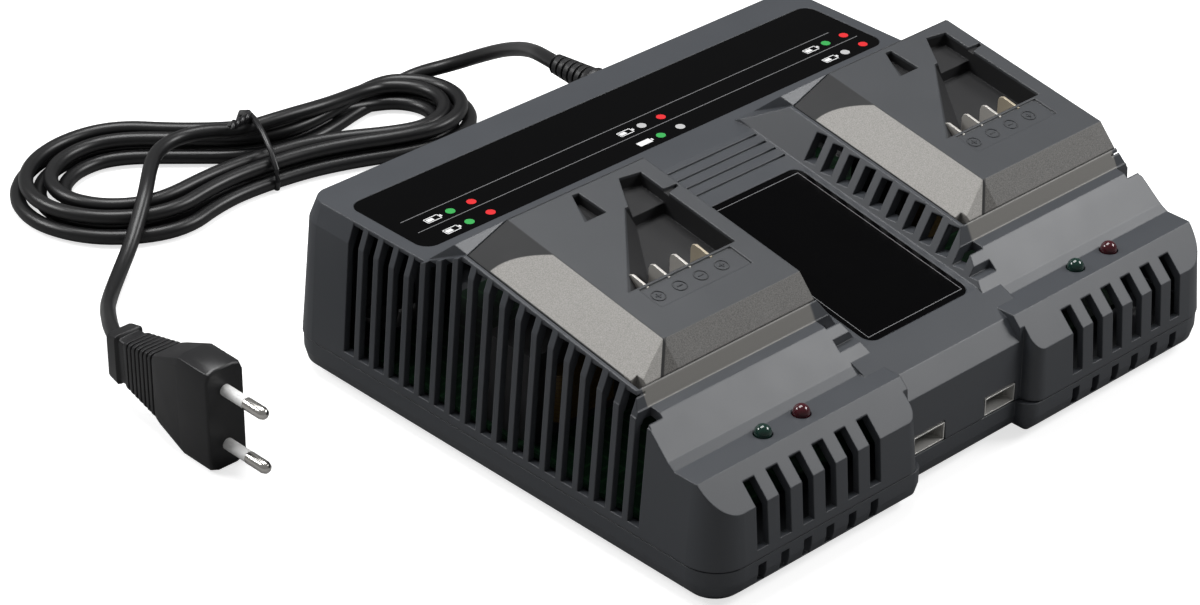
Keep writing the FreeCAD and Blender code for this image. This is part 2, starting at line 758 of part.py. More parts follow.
def core(name, x, y, width, depth, height, tall):
    """Transformer: ferrite core with a taped winding round its middle leg."""
    base = size("board_level") + size("board_thick")
    iron = box((x - width / 2.0, y - depth / 2.0, base), (x + width / 2.0, y + depth / 2.0, base + height))
    window = box((x - width * 0.36, y - depth, base + height * 0.2), (x + width * 0.36, y + depth, base + height * 0.8))
    leg = box((x - width * 0.14, y - depth / 2.0, base), (x + width * 0.14, y + depth / 2.0, base + height))
    keep(name + "_core", iron.cut(window).fuse(leg).removeSplitter())
    hole = box((x - width * 0.14 - 0.2, y - depth / 2.0 - 0.2, base), (x + width * 0.14 + 0.2, y + depth / 2.0 + 0.2, base + 60.0))
    coil = box((x - width * 0.33, y - depth / 2.0 - tall, base + height * 0.23),
               (x + width * 0.33, y + depth / 2.0 + tall, base + height * 0.77))
    upright = [e for e in coil.Edges if abs(e.tangentAt(e.FirstParameter).z) > 0.9]
    coil = coil.makeFillet(3.0, upright)
    return keep(name + "_winding", coil.cut(hole))


def heat_sinks():
    """Finned aluminium sinks standing on the board."""
    base = size("board_level") + size("board_thick")
    for side, sign in (("left", -1), ("right", 1)):
        x = sign * 30.0
        plate = box((x - 1.5, -44.0, base), (x + 1.5, -4.0, base + 30.0))
        fins = [box((min(x, x + sign * 8.0), y, base + 3.0), (max(x, x + sign * 8.0), y + 1.6, base + 30.0))
                for y in (-42.0, -35.0, -28.0, -21.0, -14.0, -7.0)]
        keep("heat_sink_" + side, plate.multiFuse(fins).removeSplitter())


def components():
    """Large parts on the main board."""
    base = size("board_level") + size("board_thick")
    for side, x in (("left", -78.0), ("right", 78.0)):
        core("transformer_" + side, x, 6.0, 36.0, 20.0, 30.0, 5.0)
        can = Part.makeCylinder(9.0, 30.0, Vector(x * 0.66, 36.0, base))
        can = can.makeFillet(1.0, [e for e in can.Edges if e.Curve.TypeId == "Part::GeomCircle"])
        keep("capacitor_" + side, can)
    choke = Part.makeTorus(9.0, 4.5, Vector(0.0, 52.0, base + 13.6), Vector(0, 1, 0))
    keep("mains_choke", choke)
    fuse = Part.makeCylinder(3.0, 20.0, Vector(20.0, 62.0, base + 3.0), Vector(1, 0, 0))
    keep("fuse", fuse)
    heat_sinks()


def fan():
    """Cooling fan that stands behind the rear vents: a square frame and a bladed rotor."""
    s, depth = size("fan_size") / 2.0, size("fan_depth")
    cx, cy = -size("fan_place_x"), size("fan_place_y")
    cz = size("board_level") + size("board_thick") + s + 0.2
    bore = size("fan_bore")
    frame = box((cx - s, cy, cz - s), (cx + s, cy + depth, cz + s))
    frame = frame.makeFillet(2.5, [e for e in frame.Edges if abs(e.tangentAt(e.FirstParameter).y) > 0.9])
    hub = size("fan_hub")
    axis = Vector(0, 1, 0)
    frame = frame.cut(Part.makeCylinder(bore, depth + 2.0, Vector(cx, cy - 1.0, cz), axis))
    spokes = [box((cx - 1.2, cy + depth - 1.8, cz - bore - 0.5), (cx + 1.2, cy + depth, cz + bore + 0.5)),
              box((cx - bore - 0.5, cy + depth - 1.8, cz - 1.2), (cx + bore + 0.5, cy + depth, cz + 1.2)),
              Part.makeCylinder(hub * 0.9, 1.8, Vector(cx, cy + depth - 1.8, cz), axis)]
    frame = frame.multiFuse(spokes)
    holes = [Part.makeCylinder(1.7, depth + 2.0, Vector(cx + sx * (s - 4.0), cy - 1.0, cz + sz * (s - 4.0)), axis)
             for sx in (-1, 1) for sz in (-1, 1)]
    shaft_hole = Part.makeCylinder(size("fan_shaft") + size("shaft_clearance"), 4.0,
                                   Vector(cx, cy + depth - 2.5, cz), axis)
    frame = frame.cut(Part.makeCompound(holes + [shaft_hole]))
    keep("fan_frame", frame)
    cup = Part.makeCylinder(hub, depth - 3.0, Vector(cx, cy + 0.6, cz), axis)
    shaft = Part.makeCylinder(size("fan_shaft"), depth - 0.8, Vector(cx, cy + 0.8, cz), axis)
    blades_made = []
    for i in range(7):
        low = wire([(cx - 1.0 + dx, cy + 1.2 + dy, cz + hub - 1.0) for dx, dy in ((-3.2, 0), (-2.0, 0), (4.4, 5.6), (3.2, 5.6))])
        high = wire([(cx - 1.0 + dx, cy + 1.2 + dy, cz + bore - 1.3) for dx, dy in ((-4.6, 0), (-3.4, 0), (5.6, 5.6), (4.4, 5.6))])
        blade = Part.makeLoft([low, high], True, True)
        blade.rotate(Vector(cx, cy, cz), axis, 360.0 / 7.0 * i)
        blades_made.append(blade)
    rotor = fuse_all([cup, shaft] + blades_made).removeSplitter()
    keep("fan_rotor", rotor)
    return cx, cy, cz


# Route of the free cord from the housing to the hank, and of its tail from the hank to the plug.
CORD_RUN = [(22.0, 112.0, 49.5), (25.5, 123.0, 47.4), (32.0, 135.0, 42.4), (38.5, 148.0, 36.0),
            (43.5, 162.0, 28.6), (45.5, 176.0, 20.4), (43.0, 188.5, 13.0), (35.5, 198.0, 8.6),
            (24.5, 203.5, 7.0), (13.0, 204.5, 7.0)]
CORD_TAIL = [(-43.0, 199.0, 14.0), (-50.0, 208.0, 15.6), (-62.0, 211.5, 15.6), (-73.5, 205.5, 15.6),
             (-82.5, 195.5, 15.6), (-90.5, 187.0, 14.6), (-98.5, 180.5, 10.4), (-107.5, 174.0, 5.6),
             (-117.5, 166.5, 3.4), (-128.0, 157.0, 3.8), (-137.5, 146.0, 7.6), (-146.0, 133.5, 12.6),
             (-153.5, 121.5, 16.2), (-158.6, 109.5, 17.5)]


def route(points):
    """Straight runs joined by tangent arcs, each as large as its two runs allow."""
    nodes = [Vector(*p) for p in points]
    edges = []
    here = nodes[0]
    tightest = 1e9
    for before, at, after in zip(nodes, nodes[1:], nodes[2:]):
        a, b = (at - before), (after - at)
        turn = a.getAngle(b)
        shorter = min(a.Length, b.Length)
        cut = 0.45 * shorter
        radius = cut / math.tan(turn / 2.0)
        tightest = min(tightest, radius)
        start = at - a.normalize() * cut
        end = at + b.normalize() * cut
        mid_dir = ((start - at) + (end - at)).normalize()
        mid = at + mid_dir * (radius / math.cos(turn / 2.0) - radius)
        edges.append(Part.LineSegment(here, start).toShape())
        edges.append(Part.Arc(start, mid, end).toShape())
        here = end
    edges.append(Part.LineSegment(here, nodes[-1]).toShape())
    return Part.Wire(edges), tightest


def tube(name, points, radius):
    """Cord laid along a route."""
    path, tightest = route(points)
    start = path.Edges[0]
    direction = start.tangentAt(start.FirstParameter)
    ring = Part.Wire([Part.makeCircle(radius, start.Vertexes[0].Point, direction)])
    shape = path.makePipeShell([ring], True, False)
    wanted = math.pi * radius * radius * path.Length
    print("%s length %.1f tightest radius %.1f volume share %.4f" % (name, path.Length, tightest, shape.Volume / wanted))
    return keep(name, shape)


HANK_CENTRE = Vector(-38.0, 196.0, 0.0)
HANK_TURN = math.radians(-18.5)


def on_hank(along, across, z):
    """Place given along and across the tied hank."""
    return (HANK_CENTRE.x + along * math.cos(HANK_TURN) - across * math.sin(HANK_TURN),
            HANK_CENTRE.y + along * math.sin(HANK_TURN) + across * math.cos(HANK_TURN), z)


def cord_hank():
    """Closed outer shape of the tied hank: drawn in at the waist, fanned at both ends."""
    stations = [(-83.0, 2.0, 20.0, 8.0), (-71.0, -32.0, 30.0, 11.0), (-52.0, -33.0, 38.0, 12.0),
                (-28.0, -27.0, 33.0, 13.0), (-5.0, -21.0, 18.0, 18.0), (7.0, -20.0, 15.0, 18.0),
                (38.0, -18.0, 24.0, 13.0), (56.0, -14.0, 28.0, 11.5), (72.0, -5.0, 27.0, 10.5), (80.0, 8.0, 24.0, 8.0)]
    rings = []
    for along, low, high, top in stations:
        mid, half = (low + high) / 2.0, (high - low) / 2.0
        section = [(-1.0, 0.3), (1.0, 0.3), (1.0, top * 0.6), (0.7, top), (-0.7, top), (-1.0, top * 0.6)]
        rings.append(wire([on_hank(along, mid + half * a, z) for a, z in section]))
    return keep("cord_hank", Part.makeLoft(rings, True, True))


def strain_relief():
    """Tapered sleeve where the cord leaves the back wall."""
    x, z = size("cord_exit_x"), size("cord_exit_z")
    back = HALF_D
    r = size("relief_radius")
    axis = Vector(0, 1, 0)
    collar = Part.makeCylinder(r - 1.5, 10.0, Vector(x, back - 8.0, z), axis)
    taper = Part.makeCone(r - 0.6, size("cord_width") / 2.0 + 0.7, size("relief_length") - 2.0,
                          Vector(x, back + 2.0, z), axis)
    flange = Part.makeCylinder(r, 2.0, Vector(x, back + 0.1, z), axis)
    return keep("strain_relief", fuse_all([collar, taper, flange]).removeSplitter())


def plug():
    """Flat two-pin plug standing on its narrow edge, pins pointing to the front."""
    spacing, r, length = size("pin_spacing"), size("pin_radius"), size("pin_length")
    x, rear, z, long = size("plug_x"), size("plug_rear"), size("plug_height") / 2.0, size("plug_length")
    full, thick = size("plug_height") / 2.0, size("plug_thick") / 2.0
    # distance from the collar, half height and half thickness of each section
    steps = [(0.0, 8.4, 5.3), (5.6, 8.8, 5.6), (6.2, 7.2, 4.4), (8.6, 7.2, 4.4), (9.2, 9.2, 5.8),
             (long * 0.48, 10.6, 6.2), (long * 0.70, full - 0.8, thick), (long * 0.78, full, thick),
             (long - 1.0, full, thick), (long, full - 1.0, thick - 0.8)]

    def ring(along, half, deep):
        cut = deep * 0.45
        pts = [(-deep, -half + cut), (-deep + cut, -half), (deep - cut, -half), (deep, -half + cut),
               (deep, half - cut), (deep - cut, half), (-deep + cut, half), (-deep, half - cut)]
        return wire([(x + dx, rear - along, z + dz) for dx, dz in pts])

    body = Part.makeLoft([ring(*step) for step in steps], True, True)
    pins, holes = [], []
    toward = Vector(0, -1, 0)
    for sign in (-1, 1):
        start = Vector(x, rear - long + 4.0, z + sign * spacing / 2.0)
        face = Vector(x, rear - long, start.z)
        pin = Part.makeCylinder(r, length, face, toward)
        tip = [e for e in pin.Edges if e.Curve.TypeId == "Part::GeomCircle" and e.Vertexes[0].Point.y < face.y - 1.0]
        root = Part.makeCylinder(r * 0.75, 4.0, start, toward)
        pins.append(pin.makeFillet(r * 0.8, tip).fuse(root))
        holes.append(Part.makeCylinder(r * 0.75, 4.5, start, toward))
    keep("plug_body", body.cut(Part.makeCompound(holes)))
    keep("plug_pins", Part.makeCompound(pins))


def hank_tie():
    """Flat wire tie round the waist of the hank."""
    low, high, top = -22.4, 18.6, 20.6
    pts = [(low, 0.2), (high, 0.2), (high, top * 0.66), (high - 6.0, top), (low + 6.0, top), (low, top * 0.66)]
    mid = (low + high) / 2.0
    inner = [(mid + (a - mid) * 0.95, -1.0 if z < 1.0 else z * 0.955) for a, z in pts]

    def band(points, low_end, high_end):
        return Part.makeLoft([wire([on_hank(s, a, z) for a, z in points]) for s in (low_end, high_end)], True, True)
    return keep("hank_tie", band(pts, -1.2, 1.2).cut(band(inner, -2.0, 2.0)))


def build():
    """Make every piece of the charger."""
    upper_shell()
    bottom_shell()
    panels()
    for side in BAYS:
        platform(side)
        blades(side)
        terminal_block(side)
    lamps()
    lamp_boards()
    usb_ports()
    boards()
    components()
    place = fan()
    print("fan axis %.2f %.2f %.2f" % place)
    feet()
    screws()
    strain_relief()
    tube("cord_run", CORD_RUN, size("cord_width") / 2.0)
    tube("cord_tail", CORD_TAIL, size("cord_width") / 2.0)
    cord_hank()
    hank_tie()
    plug()


build()
DOC.recompute()
os.makedirs("parts", exist_ok=True)
for item in DOC.Objects:
    if "Invalid" in item.State or "Error" in item.State:
        raise RuntimeError("failed object " + item.Name)
for item in DOC.Objects:
    if not item.isDerivedFrom("Part::Feature"):
        continue
    if item.Shape.isNull() or not item.Shape.isValid():
        raise RuntimeError("bad shape " + item.Label)
    item.Shape.exportStep("parts/%s.step" % item.Label)
    print("%-24s solids %d volume %.0f" % (item.Label, len(item.Shape.Solids), item.Shape.Volume))
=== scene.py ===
"""Looks of a twin-bay battery charger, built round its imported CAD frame."""
import logging
import math
from dataclasses import dataclass
from enum import Enum
from typing import Callable, Iterable, Sequence

import bmesh
import bpy
from mathutils import Matrix, Vector


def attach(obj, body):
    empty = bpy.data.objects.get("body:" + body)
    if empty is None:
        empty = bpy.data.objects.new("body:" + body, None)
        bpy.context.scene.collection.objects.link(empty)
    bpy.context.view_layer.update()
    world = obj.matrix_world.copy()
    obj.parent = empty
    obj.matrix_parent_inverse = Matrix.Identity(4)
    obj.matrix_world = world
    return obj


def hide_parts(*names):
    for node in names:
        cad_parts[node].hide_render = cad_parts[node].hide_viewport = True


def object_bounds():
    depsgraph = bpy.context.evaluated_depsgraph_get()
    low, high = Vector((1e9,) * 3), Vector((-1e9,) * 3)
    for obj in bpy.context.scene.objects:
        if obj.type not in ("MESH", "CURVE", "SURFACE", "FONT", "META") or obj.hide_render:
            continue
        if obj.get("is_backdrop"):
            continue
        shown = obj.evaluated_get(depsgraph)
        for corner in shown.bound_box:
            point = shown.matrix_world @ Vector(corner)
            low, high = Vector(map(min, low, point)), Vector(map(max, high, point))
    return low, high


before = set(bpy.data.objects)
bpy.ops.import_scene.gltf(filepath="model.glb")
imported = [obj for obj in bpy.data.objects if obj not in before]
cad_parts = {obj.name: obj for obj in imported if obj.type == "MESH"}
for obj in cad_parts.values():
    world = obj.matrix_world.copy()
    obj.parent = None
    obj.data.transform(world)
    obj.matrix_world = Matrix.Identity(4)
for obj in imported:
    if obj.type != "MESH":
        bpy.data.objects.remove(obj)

LOG = logging.getLogger("charger")

# CAD body that every piece drawn here rides on
BODY = "housing"

# Metres in a millimetre; sizes are in millimetres where nothing says metres
MM = 0.001

# Rise of both bays and of the valley for each millimetre towards the back
SLOPE = 0.173

# Heights of the platform's top and of the valley floor, where y is zero
PLATFORM_TOP = 70.4
VALLEY_TOP = 54.3

# Middle of each bay, and half the width of a platform at its foot
BAY_CENTRE = {"left": -67.3, "right": 67.3}
PLATFORM_HALF = 34.4

Point = tuple[float, float, float]
Plan = tuple[float, float]
Colour = tuple[float, float, float]


class Side(Enum):
    """Which of the two charging bays a piece belongs to."""

    LEFT = "left"
    RIGHT = "right"

    @property
    def centre(self) -> float:
        """Middle of the bay along X, in millimetres."""
        return BAY_CENTRE[self.value]


def platform_z(y: float) -> float:
    """Height of the tilted battery platform's flat top, in millimetres."""
    return PLATFORM_TOP + SLOPE * y


def valley_z(y: float) -> float:
    """Height of the floor between the bays, in millimetres."""
    return VALLEY_TOP + SLOPE * y


# Shading
class Value:
    """A socket of a node tree that adds, multiplies and compares like a number."""

    def __init__(self, tree: "Shade", socket: bpy.types.NodeSocket) -> None:
        """Keep the socket and the tree that it belongs to."""
        self.tree = tree
        self.socket = socket

    def _math(self, kind: str, other: "Value | float", swap: bool = False) -> "Value":
        """Result of a math node on this value and another, in either order."""
        pair = [other, self] if swap else [self, other]
        return self.tree.node("ShaderNodeMath", "Value", pair, operation=kind)

    def __add__(self, other: "Value | float") -> "Value":
        """Sum."""
        return self._math("ADD", other)

    def __radd__(self, other: float) -> "Value":
        """Sum with a number on the left."""
        return self._math("ADD", other, True)

    def __sub__(self, other: "Value | float") -> "Value":
        """Difference."""
        return self._math("SUBTRACT", other)

    def __rsub__(self, other: float) -> "Value":
        """Difference from a number on the left."""
        return self._math("SUBTRACT", other, True)

    def __mul__(self, other: "Value | float") -> "Value":
        """Product."""
        return self._math("MULTIPLY", other)

    def __rmul__(self, other: float) -> "Value":
        """Product with a number on the left."""
        return self._math("MULTIPLY", other, True)

    def __truediv__(self, other: "Value | float") -> "Value":
        """Quotient."""
        return self._math("DIVIDE", other)

    def __rtruediv__(self, other: float) -> "Value":
        """Quotient of a number on the left."""
        return self._math("DIVIDE", other, True)

    def above(self, edge: float, soft: float) -> "Value":
        """Step from 0 to 1 round an edge, smoothed over a width."""
        inputs = {"Value": self, "From Min": edge - soft, "From Max": edge + soft}
        return self.tree.node("ShaderNodeMapRange", "Result", inputs, interpolation_type="SMOOTHSTEP")

    def limit(self, low: float, high: float) -> "Value":
        """Value kept between two bounds."""
        inputs = {"Value": self, "Min": low, "Max": high}
        return self.tree.node("ShaderNodeClamp", "Result", inputs)

    def wrap(self, period: float) -> "Value":
        """Saw wave of a given period."""
        return self.tree.node("ShaderNodeMath", "Value", [self, period, 0.0], operation="WRAP")


class Shade:
    """Node tree of one material round a Principled shader."""

    def __init__(self, name: str) -> None:
        """Start a material with one Principled shader.

        Args:
            name: name of the material.
        """
        self.material = bpy.data.materials.new(name)
        self.material.use_nodes = True
        self.nodes = self.material.node_tree.nodes
        self.links = self.material.node_tree.links
        self.nodes.clear()
        self.out = self.nodes.new("ShaderNodeOutputMaterial")
        self.surface = self.nodes.new("ShaderNodeBsdfPrincipled")
        self.links.new(self.surface.outputs[0], self.out.inputs["Surface"])
        self._place: Value | None = None

    def node(self, kind: str, output: str, inputs: "dict | Sequence", **settings: object) -> Value:
        """Add a node, fill its inputs and hand back one output.

        Args:
            kind: node type.
            output: name of the output wanted.
            inputs: values or sockets, by name or in order.
            settings: attributes of the node.

        Returns:
            The chosen output.
        """
        made = self.nodes.new(kind)
        for key, value in settings.items():
            setattr(made, key, value)
        pairs = inputs.items() if isinstance(inputs, dict) else enumerate(inputs)
        for key, value in pairs:
            self.feed(made.inputs[key], value)
        return Value(self, made.outputs[output])

    def feed(self, socket: bpy.types.NodeSocket, value: object) -> None:
        """Link a value into a socket, or set it as a constant.

        Args:
            socket: input to fill.
            value: another node's output, a colour or a number.
        """
        if isinstance(value, Value):
            self.links.new(value.socket, socket)
        elif isinstance(value, tuple) and socket.type == "RGBA":
            socket.default_value = (*value, 1.0)
        else:
            socket.default_value = value

    def set(self, **inputs: object) -> None:
        """Set inputs of the Principled shader; underscores stand for spaces."""
        for key, value in inputs.items():
            self.feed(self.surface.inputs[key.replace("_", " ")], value)

    @property
    def place(self) -> Value:
        """Object coordinates from a node that is made once.

        Returns:
            The coordinates, in metres.
        """
        if self._place is None:
            self._place = self.node("ShaderNodeTexCoord", "Object", [])
        return self._place

    def axis(self, name: str) -> Value:
        """One object coordinate, in millimetres.

        Args:
            name: X, Y or Z.

        Returns:
            The coordinate.
        """
        made = self.nodes.new("ShaderNodeSeparateXYZ")
        self.links.new(self.place.socket, made.inputs[0])
        return Value(self, made.outputs[name]) * (1.0 / MM)

    def noise(self, size: float, detail: float = 2.0) -> Value:
        """Noise from 0 to 1 whose blots are about size millimetres wide."""
        inputs = {"Vector": self.place, "Scale": 1.0 / (size * MM), "Detail": detail}
        return self.node("ShaderNodeTexNoise", "Fac", inputs)

    def mix(self, share: "Value | float", first: object, second: object) -> Value:
        """Blend two colours.

        Args:
            share: how much of the second colour, from 0 to 1.
            first: first colour.
            second: second colour.

        Returns:
            The blended colour.
        """
        made = self.nodes.new("ShaderNodeMix")
        made.data_type = "RGBA"
        self.feed(made.inputs[0], share)
        self.feed(made.inputs[6], first)
        self.feed(made.inputs[7], second)
        return Value(self, made.outputs[2])

    def bump(self, height: Value, strength: float, depth: float, edge: float = 0.0) -> None:
        """Bump the surface and soften its edges.

        Args:
            height: bump height from 0 to 1.
            strength: strength of the bump.
            depth: bump depth in millimetres.
            edge: radius that sharp edges are shaded with, in millimetres.
        """
        inputs: dict = {"Height": height, "Strength": strength, "Distance": depth * MM}
        if edge > 0.0:
            inputs["Normal"] = self.node("ShaderNodeBevel", "Normal", {"Radius": edge * MM}, samples=6)
        self.set(Normal=self.node("ShaderNodeBump", "Normal", inputs))


# Finishes
@dataclass(frozen=True)
class Finish:
    """A moulded or plain finish with fine grain, mottling and softened edges."""

    name: str
    slot: str
    colour: Colour
    rough: float = 0.45
    metal: float = 0.0
    grain: float = 0.35
    depth: float = 0.02
    strength: float = 0.35
    edge: float = 0.4
    mottle: float = 0.12
    coat: float = 0.0
    specular: float = 0.5

    def shade(self) -> Shade:
        """Build the node tree.

        Returns:
            The tree with its material.
        """
        tree = Shade(self.name)
        fine = tree.noise(self.grain)
        wide = tree.noise(14.0, 3.0)
        dark = tuple(c * (1.0 - self.mottle) for c in self.colour)
        light = tuple(min(c * (1.0 + self.mottle), 1.0) for c in self.colour)
        tint = tree.mix(fine * 0.5 + wide * 0.5, dark, light)
        uneven = wide * (self.rough * 0.16) + self.rough * 0.92
        tree.set(Base_Color=self.tint(tree, tint), Roughness=self.gloss(tree, uneven))
        tree.set(Metallic=self.metal, Coat_Weight=self.coat, Specular_IOR_Level=self.specular)
        tree.bump(self.relief(tree, fine), self.strength, self.depth, self.edge)
        return tree

    def tint(self, tree: Shade, plain: Value) -> Value:
        """Colour of the finish; other finishes paint on this."""
        return plain

    def gloss(self, tree: Shade, plain: Value) -> Value:
        """Roughness of the finish."""
        return plain

    def relief(self, tree: Shade, plain: Value) -> Value:
        """Bump height of the finish."""
        return plain

    def make(self) -> bpy.types.Material:
        """Build the material once."""
        found = bpy.data.materials.get(self.name)
        return found or self.shade().material


@dataclass(frozen=True)
class PlatformFinish(Finish):
    """Battery platform: smooth dark top, sanded bevels, painted shade on the bare left bevel, black terminal
    pocket.
    """

    left_edge: float = -101.7
    front_y: float = 47.7
    bevel: float = 15.1
    lean: float = 1.1
    patch_back: float = 7.6
    patch_round: float = 0.045
    line_width: float = 1.3
    pocket_left: float = 19.0
    pocket_front: float = 36.5
    pocket_depth: float = 0.9
    speck: float = 0.34

    def local(self, tree: Shade) -> tuple[Value, Value, Value]:
        """Place on the platform.

        Args:
            tree: node tree of the finish.

        Returns:
            Place across the bay, along it, and depth under the tilted top.
        """
        along = tree.axis("Y")
        top = along * SLOPE + PLATFORM_TOP
        return tree.axis("X") - self.left_edge, along, top - tree.axis("Z")

    def past_corner(self, tree: Shade) -> Value:
        """Distance to the right of the line down the front corner.

        Args:
            tree: node tree of the finish.

        Returns:
            Distance in millimetres, negative on the left bevel.
        """
        across, along, _depth = self.local(tree)
        corner = (along + self.front_y).limit(-20.0, 0.0) * self.lean + self.bevel
        return across - corner

    def patch(self, tree: Shade) -> Value:
        """Mask of the sanded left bevel, rounded at the back and cut off at the front corner line.

        Args:
            tree: node tree of the finish.

        Returns:
            Mask from 0 to 1.
        """
        across, along, _depth = self.local(tree)
        inside = 1.0 - self.past_corner(tree).above(0.0, 0.12)
        before = 1.0 - (along + across * across * self.patch_round).above(self.patch_back, 0.25)
        return inside * before * across.above(0.25, 0.15)

    def corner_line(self, tree: Shade) -> Value:
        """Mask of the narrow dark line down the front corner.

        Args:
            tree: node tree of the finish.

        Returns:
            Mask from 0 to 1.
        """
        away = self.past_corner(tree)
        front = 1.0 - tree.axis("Y").above(0.1 - self.front_y, 0.1)
        return away.above(0.0, 0.15) * (1.0 - away.above(self.line_width, 0.3)) * front

    def front(self, tree: Shade) -> Value:
        """Mask of the front bevel."""
        return 1.0 - tree.axis("Y").above(-self.front_y - 0.05, 0.1)

    def shoulder(self, tree: Shade) -> Value:
        """Mask of the whole left bevel, which the sanded patch only partly covers; its bare part carries
        painted shade.
        """
        across, _along, _depth = self.local(tree)
        return 1.0 - across.above(self.bevel + 0.2, 0.3)

    def pocket(self, tree: Shade) -> Value:
        """Mask of the pocket and the catch notch, below the top and away from the bevels.

        Args:
            tree: node tree of the finish.

        Returns:
            Mask from 0 to 1.
        """
        across, along, depth = self.local(tree)
        behind = (along + self.pocket_front).above(0.0, 0.5)
        return depth.above(self.pocket_depth, 0.35) * across.above(self.pocket_left, 0.2) * behind

    def sanded(self, tree: Shade) -> Value:
        """Mask of both sanded bevels."""
        return (self.patch(tree) + self.front(tree)).limit(0.0, 1.0)

    def tint(self, tree: Shade, plain: Value) -> Value:
        """Painted shade on the bare left bevel, pale sand on the left, dark grit in front, black in the
        corner line and the pocket.

        Args:
            tree: node tree of the finish.
            plain: colour of the top.

        Returns:
            Colour of the platform.
        """
        speck = tree.noise(self.speck).above(0.5, 0.3)
        sand = tree.mix(speck, (0.17, 0.163, 0.152), (0.29, 0.28, 0.262))
        grit = tree.mix(speck, (0.05, 0.048, 0.045), (0.13, 0.125, 0.118))
        # Painted shade: the whole left bevel is tinted near-black where the lamps would light it; the sand
        # patch is then laid over part of it
        made = tree.mix(self.shoulder(tree), plain, (0.009, 0.0095, 0.0105))
        made = tree.mix(self.front(tree), made, grit)
        made = tree.mix(self.patch(tree), made, sand)
        made = tree.mix(self.corner_line(tree), made, (0.012, 0.012, 0.012))
        return tree.mix(self.pocket(tree), made, (0.006, 0.006, 0.007))

    def gloss(self, tree: Shade, plain: Value) -> Value:
        """Roughness, duller on sand, on the bare part of the left bevel and in the pocket.

        Args:
            tree: node tree of the finish.
            plain: roughness of the top.

        Returns:
            Roughness of the platform.
        """
        bare = self.shoulder(tree) * (1.0 - self.patch(tree))
        return plain + self.sanded(tree) * 0.14 + bare * 0.3 + self.pocket(tree) * 0.25

    def relief(self, tree: Shade, plain: Value) -> Value:
        """Bump height, coarser on the sanded bevels."""
        return plain + self.sanded(tree) * tree.noise(self.speck) * 1.5


@dataclass(frozen=True)
class HousingFinish(Finish):
    """Housing plastic with a painted reflection: paler on the narrow strip in front of each platform."""

    sheen_strip_front: float = -57.2
    sheen_strip_back: float = -54.3
    sheen_strip_low: float = 49.6
    bay_inner: float = 34.0
    bay_outer: float = 101.2

    def tint(self, tree: Shade, plain: Value) -> Value:
        """Paint the strips pale, as a painted reflection of the floor.

        Args:
            tree: node tree of the finish.
            plain: colour of the housing.

        Returns:
            Colour of the housing with its painted strip reflections.
        """
        along, across = tree.axis("Y"), tree.axis("X")
        squared = across * across
        band = along.above(self.sheen_strip_front, 0.15) * (1.0 - along.above(self.sheen_strip_back, 0.15))
        width = squared.above(self.bay_inner ** 2, 40.0) * (1.0 - squared.above(self.bay_outer ** 2, 40.0))
        high = tree.axis("Z").above(self.sheen_strip_low, 0.2)
        # Painted reflection: the steep strip is tinted pale to stand in for the bright floor it would mirror
        return tree.mix(band * width * high, plain, (0.19, 0.184, 0.172))


@dataclass(frozen=True)
class BladeFinish(Finish):
    """Nickel blades, the last one of each bay in pale brass."""

    brass_x: float = -48.3

    def tint(self, tree: Shade, plain: Value) -> Value:
        """Brass to the right of a line between the last two blades."""
        share = (tree.axis("X") - self.brass_x).above(-2.0, 0.1)
        return tree.mix(share, plain, (0.72, 0.63, 0.48))


@dataclass(frozen=True)
class BoardFinish(Finish):
    """Circuit board with tracks under green varnish."""

    def tint(self, tree: Shade, plain: Value) -> Value:
        """Paint tracks that run across in some patches and along in others.

        Args:
            tree: node tree of the finish.
            plain: colour of the varnish.

        Returns:
            Colour of the board.
        """
        across = tree.axis("X").wrap(6.0).above(5.2, 0.1)
        lane = tree.axis("Y").wrap(4.4).above(3.6, 0.1)
        patchy = tree.noise(16.0, 0.0).above(0.52, 0.02)
        tracks = (across * patchy + lane * (1.0 - patchy)) * 0.8
        return tree.mix(tracks, plain, (0.014, 0.055, 0.02))


@dataclass(frozen=True)
class TapeFinish(Finish):
    """Transformer winding under amber tape, copper showing in narrow turns."""

    def turns(self, tree: Shade) -> Value:
        """Mask of the turns."""
        return tree.axis("Z").wrap(1.4).above(1.1, 0.15)

    def tint(self, tree: Shade, plain: Value) -> Value:
        """Copper in the turns."""
        return tree.mix(self.turns(tree), plain, (0.07, 0.03, 0.01))

    def relief(self, tree: Shade, plain: Value) -> Value:
        """Turns that stand out."""
        return self.turns(tree) * 3.0 + plain


@dataclass(frozen=True)
class SheathFinish(Finish):
    """Black cord sheath, slightly uneven."""

    def relief(self, tree: Shade, plain: Value) -> Value:
        """Shallow waves a few millimetres long."""
        return plain + tree.noise(3.0) * 1.5


HOUSING = HousingFinish("housing_grey", "housing_plastic", (0.046, 0.05, 0.057), rough=0.4, grain=0.32,
                        strength=0.5, edge=0.55, mottle=0.1)
PLATFORM = {
    side: PlatformFinish("platform_" + side.value, "platform_plastic", (0.05, 0.053, 0.058), rough=0.42,
                         grain=0.32, strength=0.5, edge=0.6, left_edge=side.centre - PLATFORM_HALF)
    for side in Side
}
PANEL = Finish("panel_black", "gloss_panel", (0.0012, 0.0012, 0.0014), rough=0.16, grain=6.0, depth=0.002,
               strength=0.05, edge=0.2, mottle=0.2, specular=0.05)
NICKEL = {
    side: BladeFinish("blade_metal_" + side.value, "nickel", (0.8, 0.77, 0.72), rough=0.3, metal=0.55,
                      grain=0.8, depth=0.01, edge=0.12, brass_x=side.centre + 19.0)
    for side in Side
}
PORT_METAL = Finish("port_metal", "nickel", (0.7, 0.69, 0.66), rough=0.3, metal=0.5, grain=0.6,
                    depth=0.006, edge=0.1)
PIN_METAL = Finish("pin_metal", "nickel", (0.78, 0.76, 0.72), rough=0.18, metal=1.0, grain=0.7,
                   depth=0.004, edge=0.2)
